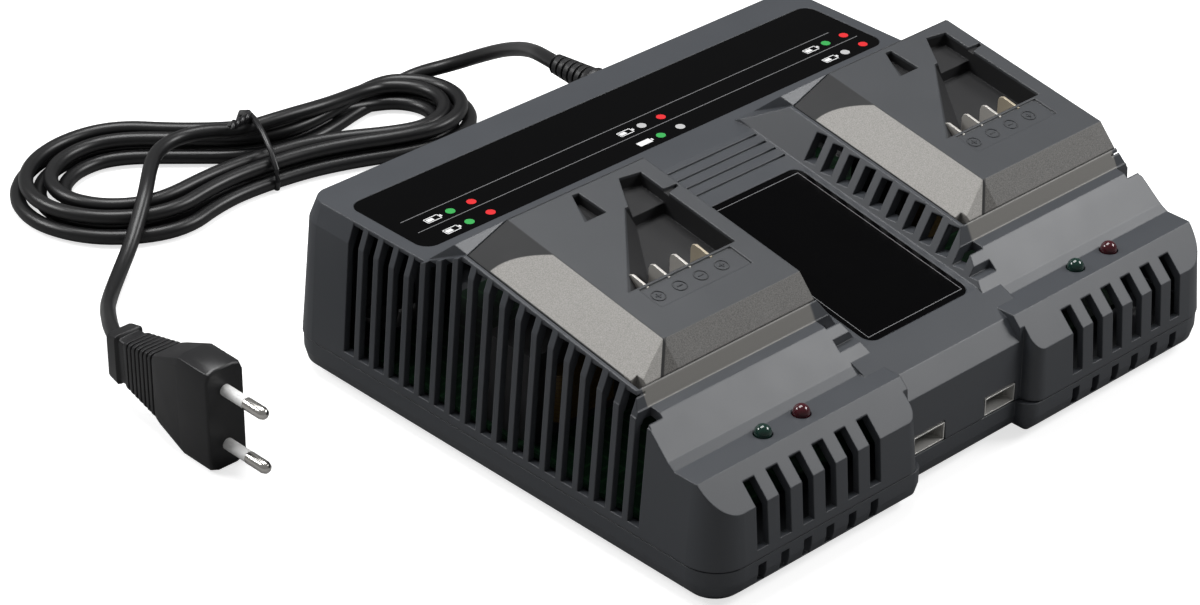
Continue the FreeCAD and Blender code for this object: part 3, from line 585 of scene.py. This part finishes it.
PIN_SLEEVE = Finish("pin_sleeve", "", (0.78, 0.78, 0.77), rough=0.4, edge=0.15)
POCKET = Finish("terminal_black", "black_plastic", (0.004, 0.004, 0.0045), rough=0.6, edge=0.3,
                specular=0.12)
BLACK = Finish("moulding_black", "black_plastic", (0.009, 0.009, 0.01), rough=0.42)
PLUG = Finish("plug_black", "black_plastic", (0.009, 0.009, 0.01), rough=0.36, grain=0.5, depth=0.015,
              edge=0.5)
CORD = SheathFinish("cord_black", "cord_sheath", (0.007, 0.007, 0.0075), rough=0.36, grain=0.8,
                    strength=0.3, edge=0.0)
TIE = Finish("tie_black", "tie_plastic", (0.008, 0.008, 0.009), rough=0.33, edge=0.1)
GREEN_LENS = Finish("lens_green", "green_lens", (0.004, 0.026, 0.018), rough=0.1, grain=1.5, depth=0.004,
                    edge=0.2, coat=0.3)
RED_LENS = Finish("lens_red", "red_lens", (0.05, 0.004, 0.008), rough=0.1, grain=1.5, depth=0.004,
                  edge=0.2, coat=0.3)
BOARD = BoardFinish("board_green", "circuit_board", (0.004, 0.022, 0.009), rough=0.5, grain=0.8, edge=0.1,
                    specular=0.2)
FERRITE = Finish("ferrite_dark", "ferrite", (0.03, 0.03, 0.032), rough=0.6, grain=0.5, depth=0.04)
TAPE = TapeFinish("winding_amber", "winding_tape", (0.1, 0.062, 0.012), rough=0.4, grain=1.0, depth=0.05,
                  edge=0.2)
CAN = Finish("can_sleeve", "can_sleeve", (0.015, 0.02, 0.05), rough=0.3, grain=1.2, edge=0.3)
SINK = Finish("sink_aluminium", "sink_aluminium", (0.25, 0.25, 0.26), metal=1.0, grain=0.5, edge=0.2)
RUBBER = Finish("foot_rubber", "foot_rubber", (0.014, 0.014, 0.014), rough=0.7, grain=0.5, depth=0.03)
STEEL = Finish("screw_steel", "steel", (0.5, 0.5, 0.49), rough=0.3, metal=1.0, grain=0.4, edge=0.15)


@dataclass(frozen=True)
class InkFinish(Finish):
    """Flat print on a glossy panel."""

    slot: str = "gloss_panel"
    colour: Colour = (0.5, 0.5, 0.5)
    rough: float = 0.4
    grain: float = 0.5
    depth: float = 0.002
    edge: float = 0.0


INK_WHITE = InkFinish("ink_white", colour=(0.72, 0.72, 0.72))
INK_LINE = InkFinish("ink_line", colour=(0.16, 0.16, 0.165))
INK_GREY = InkFinish("ink_grey", colour=(0.42, 0.42, 0.42))
INK_RED = InkFinish("ink_red", colour=(0.62, 0.015, 0.02), rough=0.35)
INK_GREEN = InkFinish("ink_green", colour=(0.03, 0.33, 0.07), rough=0.35)


# Meshes
class Builder:
    """Collects solids into one mesh piece, in millimetres."""

    def __init__(self, name: str) -> None:
        """Start an empty piece."""
        self.name = name
        self.mesh = bmesh.new()

    def plate(self, outline: Sequence[Plan], height: Callable[[float], float], thick: float) -> "Builder":
        """Add a thin plate over an outline in plan.

        Args:
            outline: corners in plan, anticlockwise.
            height: height of the surface that it lies on, from y.
            thick: thickness of the plate.

        Returns:
            This builder.
        """
        low, high = ([self.mesh.verts.new((x, y, height(y) + lift)) for x, y in outline]
                     for lift in (0.0, thick))
        self.mesh.faces.new(list(reversed(low)))
        self.mesh.faces.new(high)
        for i in range(len(outline)):
            j = (i + 1) % len(outline)
            self.mesh.faces.new([low[i], low[j], high[j], high[i]])
        return self

    def frame_line(self, corners: Sequence[Plan], width: float, height: Callable[[float], float],
                   thick: float) -> "Builder":
        """Add a line of some width round a closed outline.

        Args:
            corners: corners in plan.
            width: width of the line.
            height: height of the surface that it lies on, from y.
            thick: thickness of the line.

        Returns:
            This builder.
        """
        for start, end in zip(corners, [*corners[1:], corners[0]]):
            self.plate(stroke(start, end, width), height, thick)
        return self

    def rings(self, loops: Iterable[Sequence[Vector]]) -> "Builder":
        """Skin a stack of loops with equal counts, capped at both ends.

        Args:
            loops: points of each loop, in order.

        Returns:
            This builder.
        """
        made = [[self.mesh.verts.new(point) for point in loop] for loop in loops]
        for low, high in zip(made, made[1:]):
            for i in range(len(low)):
                j = (i + 1) % len(low)
                self.mesh.faces.new([low[i], low[j], high[j], high[i]])
        self.mesh.faces.new(list(reversed(made[0])))
        self.mesh.faces.new(made[-1])
        return self

    def lathe(self, profile: Sequence[Plan], base: Vector, axis: Vector, steps: int = 32) -> "Builder":
        """Turn a profile round an axis.

        Args:
            profile: pairs of distance along the axis and radius.
            base: start of the axis.
            axis: direction of the axis.
            steps: points round the axis.

        Returns:
            This builder.
        """
        side = axis.orthogonal().normalized()
        other = axis.cross(side).normalized()
        return self.rings([ring(base + axis * along, side, other, radius, steps)
                           for along, radius in profile])

    def finish(self, look: Finish, smooth: float = 40.0) -> bpy.types.Object:
        """Turn the collected mesh into a piece that rides on the housing.

        Args:
            look: finish of the piece.
            smooth: largest angle, in degrees, that is shaded smooth.

        Returns:
            The piece.
        """
        bmesh.ops.recalc_face_normals(self.mesh, faces=self.mesh.faces)
        for vert in self.mesh.verts:
            vert.co *= MM
        for face in self.mesh.faces:
            face.smooth = True
        for edge in self.mesh.edges:
            if len(edge.link_faces) == 2 and edge.calc_face_angle() > math.radians(smooth):
                edge.smooth = False
        data = bpy.data.meshes.new(self.name)
        self.mesh.to_mesh(data)
        self.mesh.free()
        piece = bpy.data.objects.new(self.name, data)
        bpy.context.scene.collection.objects.link(piece)
        data.materials.append(look.make())
        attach(piece, BODY)
        return piece


def ring(centre: Vector, side: Vector, other: Vector, radius: float, steps: int) -> list[Vector]:
    """Circle of points.

    Args:
        centre: middle of the circle.
        side: first direction in its plane.
        other: second direction in its plane.
        radius: radius of the circle.
        steps: number of points.

    Returns:
        The points, in order.
    """
    turns = [math.tau * i / steps for i in range(steps)]
    return [centre + (side * math.cos(turn) + other * math.sin(turn)) * radius for turn in turns]


def disc(x: float, y: float, radius: float, steps: int = 28) -> list[Plan]:
    """Round outline in plan."""
    turns = [math.tau * i / steps for i in range(steps)]
    return [(x + radius * math.cos(turn), y + radius * math.sin(turn)) for turn in turns]


def stroke(start: Plan, end: Plan, width: float) -> list[Plan]:
    """Straight line of some width, as an outline in plan.

    Args:
        start: first end.
        end: other end.
        width: width of the line.

    Returns:
        The four corners.
    """
    along = Vector((end[0] - start[0], end[1] - start[1])).normalized()
    side = Vector((-along.y, along.x)) * width / 2.0
    return [(start[0] - side.x, start[1] - side.y), (end[0] - side.x, end[1] - side.y),
            (end[0] + side.x, end[1] + side.y), (start[0] + side.x, start[1] + side.y)]


# Frame
class FramePaint:
    """Gives every CAD node that stays visible its finish."""

    def table(self) -> dict[str, Finish]:
        """Finish of each node.

        Returns:
            Finishes by the node's name.
        """
        looks = {
            "upper_shell": HOUSING, "bottom_shell": HOUSING,
            "rear_label_panel": PANEL, "centre_label_plate": PANEL,
            "main_board": BOARD, "usb_board": BOARD,
            "mains_choke": FERRITE, "fuse": CAN,
            "fan_frame": BLACK, "fan_rotor": BLACK,
            "rubber_feet": RUBBER, "housing_screws": STEEL,
        }
        for side in Side:
            name = side.value
            looks.update({
                "battery_platform_" + name: PLATFORM[side], "contact_blades_" + name: NICKEL[side],
                "terminal_block_" + name: POCKET, "lamp_board_" + name: BOARD,
                "lamp_green_" + name: GREEN_LENS, "lamp_red_" + name: RED_LENS,
                "usb_port_" + name: PORT_METAL, "usb_tongue_" + name: BLACK,
                f"transformer_{name}_core": FERRITE, f"transformer_{name}_winding": TAPE,
                "capacitor_" + name: CAN, "heat_sink_" + name: SINK,
            })
        return looks

    def build(self) -> None:
        """Paint the nodes."""
        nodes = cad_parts
        for name, look in self.table().items():
            data = nodes[name].data
            data.materials.clear()
            data.materials.append(look.make())
            for face in data.polygons:
                face.material_index = 0


@dataclass
class RearLabel:
    """Generic status legend printed on the rear panel: lamps, thin lines and plain icons."""

    level: float = 58.75
    thick: float = 0.05
    rows: Plan = (51.0, 42.4)
    dot_offset: float = 4.2
    dot_radius: float = 1.55
    icon_offset: float = 11.2
    line_width: float = 0.28
    lines_at: tuple[Point, ...] = ((47.6, -94.0, 95.0), (55.6, -94.0, 90.0))
    groups: tuple[tuple[float, str, str, str, str], ...] = (
        (-74.2, "green", "red", "green", "red"),
        (5.0, "grey", "red", "green", "grey"),
        (88.0, "green", "red", "grey", "red"),
    )

    def flat(self, _y: float) -> float:
        """Height of the panel."""
        return self.level

    def dots(self) -> None:
        """Printed lamp dots in two rows."""
        for colour, ink in (("green", INK_GREEN), ("red", INK_RED), ("grey", INK_GREY)):
            made = Builder("legend_dots_" + colour)
            for centre, *names in self.groups:
                for i, name in enumerate(names):
                    if name == colour:
                        x = centre + (-self.dot_offset, self.dot_offset)[i % 2]
                        made.plate(disc(x, self.rows[i // 2], self.dot_radius), self.flat, self.thick)
            made.finish(ink)

    def lines(self) -> None:
        """Two thin lines, one behind each row."""
        made = Builder("legend_lines")
        for y, low, high in self.lines_at:
            made.plate(stroke((low, y), (high, y), self.line_width), self.flat, self.thick)
        made.finish(INK_LINE)

    def battery(self, made: Builder, x: float, y: float, full: bool) -> None:
        """Small battery icon.

        Args:
            made: builder that takes it.
            x: middle along X.
            y: middle along Y.
            full: whether it is filled, and not an outline with a bar.
        """
        half, tall = 2.6, 1.2
        corners = [(x - half, y - tall), (x + half, y - tall), (x + half, y + tall), (x - half, y + tall)]
        if full:
            made.plate(corners, self.flat, self.thick)
        else:
            made.frame_line(corners, 0.3, self.flat, self.thick)
            made.plate(stroke((x - 2.2, y), (x + 0.2, y), 1.5), self.flat, self.thick)
        made.plate(stroke((x + 2.9, y), (x + 3.5, y), 1.1), self.flat, self.thick)

    def icons(self) -> None:
        """One icon beside each row; only the middle group has a filled one."""
        made = Builder("legend_icons")
        for number, (centre, *_names) in enumerate(self.groups):
            self.battery(made, centre - self.icon_offset, self.rows[0], False)
            self.battery(made, centre - self.icon_offset, self.rows[1], number == 1)
        made.finish(INK_WHITE)

    def build(self) -> None:
        """Print the legend."""
        self.dots()
        self.lines()
        self.icons()


@dataclass
class CentreLabel:
    """Bare plate in the valley with a thin printed frame."""

    half: float = 20.2
    front: float = -65.4
    back: float = 2.2
    sink: float = 0.08

    def height(self, y: float) -> float:
        """Height of the plate's face."""
        return valley_z(y) - self.sink

    def build(self) -> None:
        """Print the frame line."""
        corners = [(-self.half, self.front), (self.half, self.front),
                   (self.half, self.back), (-self.half, self.back)]
        Builder("centre_frame_line").frame_line(corners, 0.22, self.height, 0.04).finish(INK_LINE)


@dataclass
class TerminalMarks:
    """Moulded polarity rings in the shallow recess in front of the blades."""

    side: Side
    first: float = -6.3
    pitch: float = 8.45
    y: float = -32.6
    radius: float = 2.1
    arm: float = 1.0
    width: float = 0.34
    sink: float = 0.62
    raised: float = 0.22

    def floor(self, y: float) -> float:
        """Height of the recess."""
        return platform_z(y) - self.sink

    def build(self) -> None:
        """Raise one ring and sign for each blade: plus on the outer two, minus between them."""
        made = Builder("polarity_marks_" + self.side.value)
        for i in range(4):
            x = self.side.centre + self.first + self.pitch * i
            made.frame_line(disc(x, self.y, self.radius, 24), self.width, self.floor, self.raised)
            level = stroke((x - self.arm, self.y), (x + self.arm, self.y), self.width)
            made.plate(level, self.floor, self.raised)
            if i % 3 == 0:
                upright = stroke((x, self.y - self.arm), (x, self.y + self.arm), self.width)
                made.plate(upright, self.floor, self.raised - 0.01)
        made.finish(PLATFORM[self.side])


# Mains lead
@dataclass(frozen=True)
class Loop:
    """One loop of the hank: half widths, reach of both ends, height, and lift at the waist."""

    waist: float
    left: float
    right: float
    reach_left: float
    reach_right: float
    level: float
    lift: float = 0.0


# Heights of the cord's middle in the two layers of the hank
LOWER = 2.9
UPPER = 8.2

# Nested loops, drawn in at the waist and fanned out at both ends
LOOPS = (
    Loop(15.0, 34.0, 21.0, 81.0, 78.0, LOWER),
    Loop(9.4, 26.0, 17.0, 74.0, 72.0, LOWER),
    Loop(3.6, 19.0, 14.5, 66.0, 66.0, LOWER),
    Loop(12.2, 30.0, 19.0, 78.0, 75.0, UPPER, lift=1.2),
    Loop(6.2, 22.0, 16.0, 70.0, 69.0, UPPER),
)


@dataclass
class Cord:
    """Mains cord in one length: free run, tied hank, tail to the plug."""

    radius: float = 2.5
    centre: Plan = (-38.0, 196.0)
    turn: float = math.radians(-18.5)
    run: tuple[Point, ...] = (
        (22.0, 112.0, 49.5), (25.5, 123.0, 47.4), (32.0, 135.0, 42.4), (38.5, 148.0, 36.0),
        (43.5, 162.0, 28.6), (45.5, 176.0, 20.4), (43.0, 188.5, 13.0), (35.5, 198.0, 8.6),
    )
    tail: tuple[Point, ...] = (
        (-43.0, 199.0, 14.0), (-52.0, 203.5, 15.6), (-63.0, 207.0, 15.6), (-74.0, 203.5, 15.6),
        (-82.5, 195.5, 15.6), (-90.5, 187.0, 14.6), (-98.5, 180.5, 10.4), (-107.5, 174.0, 5.6),
        (-117.5, 166.5, 3.4), (-128.0, 157.0, 3.8), (-137.5, 146.0, 7.6), (-146.0, 133.5, 12.6),
        (-153.5, 121.5, 16.2), (-158.6, 109.5, 17.5),
    )

    def on_hank(self, along: float, across: float, z: float) -> Point:
        """Place given along and across the hank."""
        cos, sin = math.cos(self.turn), math.sin(self.turn)
        return (self.centre[0] + along * cos - across * sin, self.centre[1] + along * sin + across * cos, z)

    def bend(self, middle: Plan, half: Plan, start: float, z: float) -> list[Point]:
        """Half-round end of a loop.

        Args:
            middle: middle of the bend, along and across the hank.
            half: half sizes of the bend, along and across.
            start: angle of the first point, in degrees.
            z: height.

        Returns:
            Control points, a little outside the bend itself.
        """
        outside = 1.08
        step = 37.5
        places = []
        for i in range(6):
            angle = math.radians(start + step * i)
            places.append(self.on_hank(middle[0] + half[0] * outside * math.cos(angle),
                                       middle[1] + half[1] * outside * math.sin(angle), z))
        return places

    def loop_points(self, loop: Loop) -> list[Point]:
        """Control points of one loop, from the waist round both ends.

        Args:
            loop: sizes of the loop.

        Returns:
            Control points.
        """
        w, a, b, z = loop.waist, loop.left, loop.right, loop.level
        points = [self.on_hank(22.0, w * 0.95, z), self.on_hank(0.0, w - 2.0, z + loop.lift),
                  self.on_hank(-20.0, w + (a - w) * 0.45, z)]
        points += self.bend((a * 1.15 - loop.reach_left, 0.0), (a * 1.15, a), 86.0, z)
        points += [self.on_hank(-20.0, -w - (a - w) * 0.42, z), self.on_hank(0.0, -w - 2.0, z),
                   self.on_hank(22.0, -w * 0.95, z)]
        return points + self.bend((loop.reach_right - b * 1.1, 5.0), (b * 1.1, b), -94.0, z)

    def route(self) -> list[Point]:
        """Control points of the whole cord.

        Returns:
            Control points from the back wall to the plug.
        """
        points = [*self.run, self.on_hank(60.0, 25.0, 6.0)]
        for loop in LOOPS:
            points += self.loop_points(loop)
        return [*points, self.on_hank(30.0, 9.0, 12.8), self.on_hank(12.0, 4.0, 14.4), *self.tail]

    def build(self) -> tuple[bpy.types.Object, float]:
        """Lay the cord.

        Returns:
            The piece and its length in metres.
        """
        curve = bpy.data.curves.new("mains_cord", "CURVE")
        curve.dimensions = "3D"
        curve.bevel_depth = self.radius * MM
        curve.bevel_resolution = 5
        curve.resolution_u = 8
        curve.use_fill_caps = True
        points = self.route()
        spline = curve.splines.new("NURBS")
        spline.points.add(len(points) - 1)
        for point, place in zip(spline.points, points):
            point.co = (*(c * MM for c in place), 1.0)
        spline.order_u = 3
        spline.use_endpoint_u = True
        piece = bpy.data.objects.new("mains_cord", curve)
        bpy.context.scene.collection.objects.link(piece)
        curve.materials.append(CORD.make())
        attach(piece, BODY)
        length = spline.calc_length()
        LOG.info("cord length %.3f", length)
        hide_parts("cord_run", "cord_hank", "cord_tail")
        return piece, length


@dataclass
class StrainRelief:
    """Ribbed rubber sleeve where the cord leaves the back wall."""

    base: Point = (22.0, 92.7, 49.5)
    ribs: int = 6
    pitch: float = 2.8

    def build(self) -> bpy.types.Object:
        """Turn the sleeve with its ribs.

        Returns:
            The sleeve.
        """
        profile = [(-6.0, 3.6), (0.0, 3.6), (0.0, 5.0), (0.4, 5.2), (1.8, 5.2), (2.2, 4.8)]
        for i in range(self.ribs):
            at = 2.6 + i * self.pitch
            r = 4.6 - i * 0.2
            profile += [(at, r), (at + 1.9, r - 0.12), (at + 2.0, r - 0.9), (at + 2.7, r - 0.95)]
        profile += [(19.6, 3.4), (19.9, 3.0), (19.9, 2.2)]
        made = Builder("strain_relief_sleeve")
        piece = made.lathe(profile, Vector(self.base), Vector((0, 1, 0)), 40).finish(BLACK)
        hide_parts("strain_relief")
        return piece


@dataclass
class HankTie:
    """Twisted wire tie round the waist of the hank."""

    cord: Cord
    band_radius: float = 1.0
    end_radius: float = 0.75
    end_length: float = 9.0
    end_drift: float = 5.0
    twist: float = 13.0

    def band(self) -> list[Vector]:
        """Centre line of the wire round the strands.

        Returns:
            Points from the floor over the hank and down again.
        """
        low, high, top = -20.4, 17.4, 16.2
        shape = [(low + 1.0, 1.2), (low - 0.2, 4.6), (low + 0.6, 8.6), (low + 5.0, top * 0.82),
                 (-8.0, top + 0.2), (0.0, top + 1.8), (6.0, top + 1.4), (high - 4.0, top * 0.86),
                 (high - 0.2, 8.4), (high + 0.2, 4.6), (high - 1.0, 1.2)]
        return [Vector(self.cord.on_hank(0.0, across, z)) for across, z in shape]

    def wire(self, made: Builder, path: list[Vector], radius: float) -> None:
        """Round wire along a path.

        Args:
            made: builder that takes it.
            path: centre line.
            radius: radius of the wire.
        """
        steady = Vector((0.31, 0.17, 0.93))
        last = len(path) - 1
        loops = []
        for i, point in enumerate(path):
            ahead = (path[min(i + 1, last)] - path[max(i - 1, 0)]).normalized()
            side = ahead.cross(steady).normalized()
            loops.append(ring(point, side, ahead.cross(side), radius, 10))
        made.rings(loops)

    def twisted_end(self, phase: float) -> list[Vector]:
        """Centre line of one twisted end.

        Args:
            phase: angle that its twist starts at, in radians.

        Returns:
            Points from the knot outwards.
        """
        origin = Vector(self.cord.on_hank(0.0, 0.0, 0.0))
        along = Vector(self.cord.on_hank(1.0, 0.0, 0.0)) - origin
        across = Vector(self.cord.on_hank(0.0, 1.0, 0.0)) - origin
        knot = Vector(self.cord.on_hank(-0.6, 2.0, 18.6))
        path = []
        for i in range(40):
            t = i / 39.0
            swing = 0.85 + 1.6 * max(t - 0.6, 0.0)
            angle = phase + t * self.twist
            sideways = math.cos(angle) * swing - t * self.end_drift
            path.append(knot - along * (t * self.end_length) + across * sideways
                        + Vector((0.0, 0.0, math.sin(angle) * swing * 0.8)))
        return path

    def build(self) -> bpy.types.Object:
        """Lay the wire and its two twisted ends.

        Returns:
            The tie.
        """
        made = Builder("tie_band")
        self.wire(made, self.band(), self.band_radius)
        for phase in (0.0, math.pi):
            self.wire(made, self.twisted_end(phase), self.end_radius)
        piece = made.finish(TIE)
        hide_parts("hank_tie")
        return piece


@dataclass
class Plug:
    """Flat two-pin plug on its narrow edge: ribbed grip, flared nose, sleeved pins."""

    x: float = -159.0
    rear: float = 110.0
    z: float = 17.5
    length: float = 51.0
    pin_half_pitch: float = 9.3
    ribs: int = 7
    rib_pitch: float = 2.15

    def section(self, along: float, half: float, deep: float, cut: float) -> list[Vector]:
        """Section with cut corners.

        Args:
            along: distance from the collar.
            half: half height.
            deep: half thickness.
            cut: size of the cut corners.

        Returns:
            Three points for each corner.
        """
        quarter = [(deep, half - cut), (deep - cut * 0.28, half - cut * 0.28), (deep - cut, half)]
        loop = []
        for turn in range(4):
            corner = quarter if turn % 2 == 0 else list(reversed(quarter))
            right = 1.0 if turn in (0, 3) else -1.0
            up = 1.0 if turn in (0, 1) else -1.0
            loop += [Vector((self.x + dx * right, self.rear - along, self.z + dz * up)) for dx, dz in corner]
        return loop

    def body(self) -> bpy.types.Object:
        """Moulded body: small collar, waist, ribbed grip and flared nose with flat facets.

        Returns:
            The moulding.
        """
        steps = [(0.0, 7.2, 4.4, 1.5), (0.4, 7.8, 5.0, 1.5), (4.6, 8.6, 5.3, 1.5), (5.0, 8.2, 5.0, 1.5),
                 (5.3, 7.6, 4.5, 1.4), (8.0, 7.7, 4.5, 1.4), (8.3, 8.0, 4.8, 1.4)]
        for i in range(self.ribs):
            at = 8.8 + i * self.rib_pitch
            half, deep = 8.3 + i * 0.42, 5.0 + i * 0.14
            steps += [(at, half, deep, 1.5), (at + 1.2, half + 0.2, deep, 1.5),
                      (at + 1.3, half - 0.4, deep - 0.45, 1.3), (at + 2.0, half - 0.3, deep - 0.45, 1.3)]
        steps += [(24.2, 11.4, 6.2, 1.8), (26.0, 12.4, 6.5, 2.2), (36.5, 17.0, 7.0, 3.2),
                  (37.5, 17.4, 7.0, 3.3), (49.9, 17.45, 7.0, 3.4), (50.6, 17.2, 6.8, 3.4),
                  (self.length, 16.7, 6.4, 3.3)]
        made = Builder("plug_moulding")
        piece = made.rings([self.section(*step) for step in steps]).finish(PLUG, smooth=22.0)
        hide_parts("plug_body")
        return piece

    def pins(self) -> list[bpy.types.Object]:
        """Two pins, each with an insulating sleeve on its first half.

        Returns:
            The sleeves and the tips.
        """
        toward = Vector((0, -1, 0))
        tips, sleeves = Builder("pin_tips"), Builder("pin_sleeves")
        sleeve_profile = [(-3.0, 1.9), (9.8, 1.9), (10.0, 1.7)]
        tip_profile = [(9.0, 1.55), (10.0, 1.62), (10.05, 1.98), (17.0, 1.98), (18.2, 1.6), (18.8, 1.0),
                       (19.0, 0.3)]
        for sign in (-1, 1):
            base = Vector((self.x, self.rear - self.length, self.z + sign * self.pin_half_pitch))
            sleeves.lathe(sleeve_profile, base, toward, 28)
            tips.lathe(tip_profile, base, toward, 28)
        pieces = [sleeves.finish(PIN_SLEEVE), tips.finish(PIN_METAL)]
        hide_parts("plug_pins")
        return pieces

    def build(self) -> list[bpy.types.Object]:
        """Make every piece of the plug."""
        return [self.body(), *self.pins()]


@dataclass
class MainsLead:
    """The whole lead with what is on it."""

    def build(self) -> None:
        """Lay the cord, tie it, fit sleeve and plug, and state its real length."""
        cord = Cord()
        piece, length = cord.build()
        relief = StrainRelief().build()
        tie = HankTie(cord).build()
        plug = Plug().build()


# Studio
@dataclass(frozen=True)
class Lamp:
    """Soft rectangular light: place and aim in metres, size in metres, power in watts."""

    name: str
    place: Point
    aim: Point
    size: Plan
    power: float

    def build(self) -> None:
        """Hang the light and turn it to its aim."""
        data = bpy.data.lights.new(self.name, "AREA")
        data.shape = "RECTANGLE"
        data.size, data.size_y = self.size
        data.energy = self.power
        lamp = bpy.data.objects.new(self.name, data)
        bpy.context.scene.collection.objects.link(lamp)
        lamp.location = self.place
        toward = Vector(self.aim) - Vector(self.place)
        lamp.rotation_euler = toward.to_track_quat("-Z", "Y").to_euler()


LAMPS = (
    Lamp("overhead", (0.05, 0.35, 1.3), (0.0, 0.0, 0.05), (0.9, 0.6), 15.0),
    Lamp("right_high", (1.0, -0.62, 0.98), (0.0, -0.04, 0.05), (0.7, 0.45), 12.0),
    Lamp("back_left", (-0.78, 0.9, 0.92), (0.0, 0.0, 0.05), (0.6, 0.35), 9.0),
)


@dataclass
class Studio:
    """Pale floor, soft lights and the camera; angles are in degrees, the floor's size in metres."""

    azimuth: float = -43.83
    elevation: float = 31.03
    roll: float = 0.57
    lens: float = 109.64
    sensor: float = 36.0
    place: Point = (-700.57, -661.80, 596.07)
    floor_size: float = 12.0
    floor_grey: float = 0.62
    floor_dim: float = 0.24
    floor_glow: float = 0.7
    sky_strength: float = 0.2

    def camera(self) -> None:
        """Camera at the photo's view angle."""
        a, e, r = (math.radians(v) for v in (self.azimuth, self.elevation, self.roll))
        back = Vector((math.sin(a) * math.cos(e), -math.cos(a) * math.cos(e), math.sin(e)))
        right = (-back).cross(Vector((0, 0, 1))).normalized()
        up = right.cross(-back)
        axes = (right * math.cos(r) + up * math.sin(r), up * math.cos(r) - right * math.sin(r), back)
        data = bpy.data.cameras.new("view")
        data.lens = self.lens
        data.sensor_width = self.sensor
        data.clip_start = 0.05
        data.clip_end = 30.0
        camera = bpy.data.objects.new("view", data)
        bpy.context.scene.collection.objects.link(camera)
        turn = Matrix([[axis[i] for axis in axes] for i in range(3)]).to_4x4()
        camera.matrix_world = Matrix.Translation(Vector(self.place) * MM) @ turn
        bpy.context.scene.camera = camera

    def floor(self) -> None:
        """Large plain floor: white to the camera, with soft contact shadows, dimmer in reflections."""
        bpy.ops.mesh.primitive_plane_add(size=self.floor_size)
        floor = bpy.context.object
        floor.name = "floor"
        tree = Shade("floor_white")
        tree.set(Base_Color=(self.floor_grey,) * 3, Roughness=0.9, Specular_IOR_Level=0.0)
        matt = Value(tree, tree.surface.outputs[0])
        dim = tree.node("ShaderNodeBsdfDiffuse", "BSDF", {"Color": (self.floor_dim,) * 3})
        seen = tree.node("ShaderNodeLightPath", "Is Camera Ray", [])
        shine = {"Color": (1.0, 1.0, 1.0), "Strength": self.floor_glow}
        glow = tree.node("ShaderNodeEmission", "Emission", shine)
        both = tree.node("ShaderNodeAddShader", "Shader", [glow, matt])
        mixed = tree.node("ShaderNodeMixShader", "Shader", [seen, dim, both])
        tree.links.new(mixed.socket, tree.out.inputs["Surface"])
        floor.data.materials.append(tree.material)
        floor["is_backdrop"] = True

    def world(self) -> None:
        """Even white surroundings."""
        world = bpy.data.worlds.new("studio")
        bpy.context.scene.world = world
        world.use_nodes = True
        sky = world.node_tree.nodes["Background"]
        sky.inputs["Color"].default_value = (1.0, 1.0, 1.0, 1.0)
        sky.inputs["Strength"].default_value = self.sky_strength

    def build(self) -> None:
        """Set up the world, floor, lights and camera."""
        self.world()
        self.floor()
        for lamp in LAMPS:
            lamp.build()
        self.camera()
        bpy.context.scene.view_settings.view_transform = "Standard"


def record_size(sizes: list) -> None:
    """Note the measured bounds as plain lists."""
    sizes.append([list(corner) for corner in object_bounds()])


def main() -> None:
    """Build every sub-assembly in order."""
    logging.basicConfig(level=logging.INFO)
    sizes: list = []
    record_size(sizes)
    marks = [TerminalMarks(side) for side in Side]
    for step in (FramePaint(), RearLabel(), CentreLabel(), *marks, MainsLead(), Studio()):
        step.build()
        LOG.info("built %s", type(step).__name__)
    record_size(sizes)


if __name__ == "__main__":
    main()
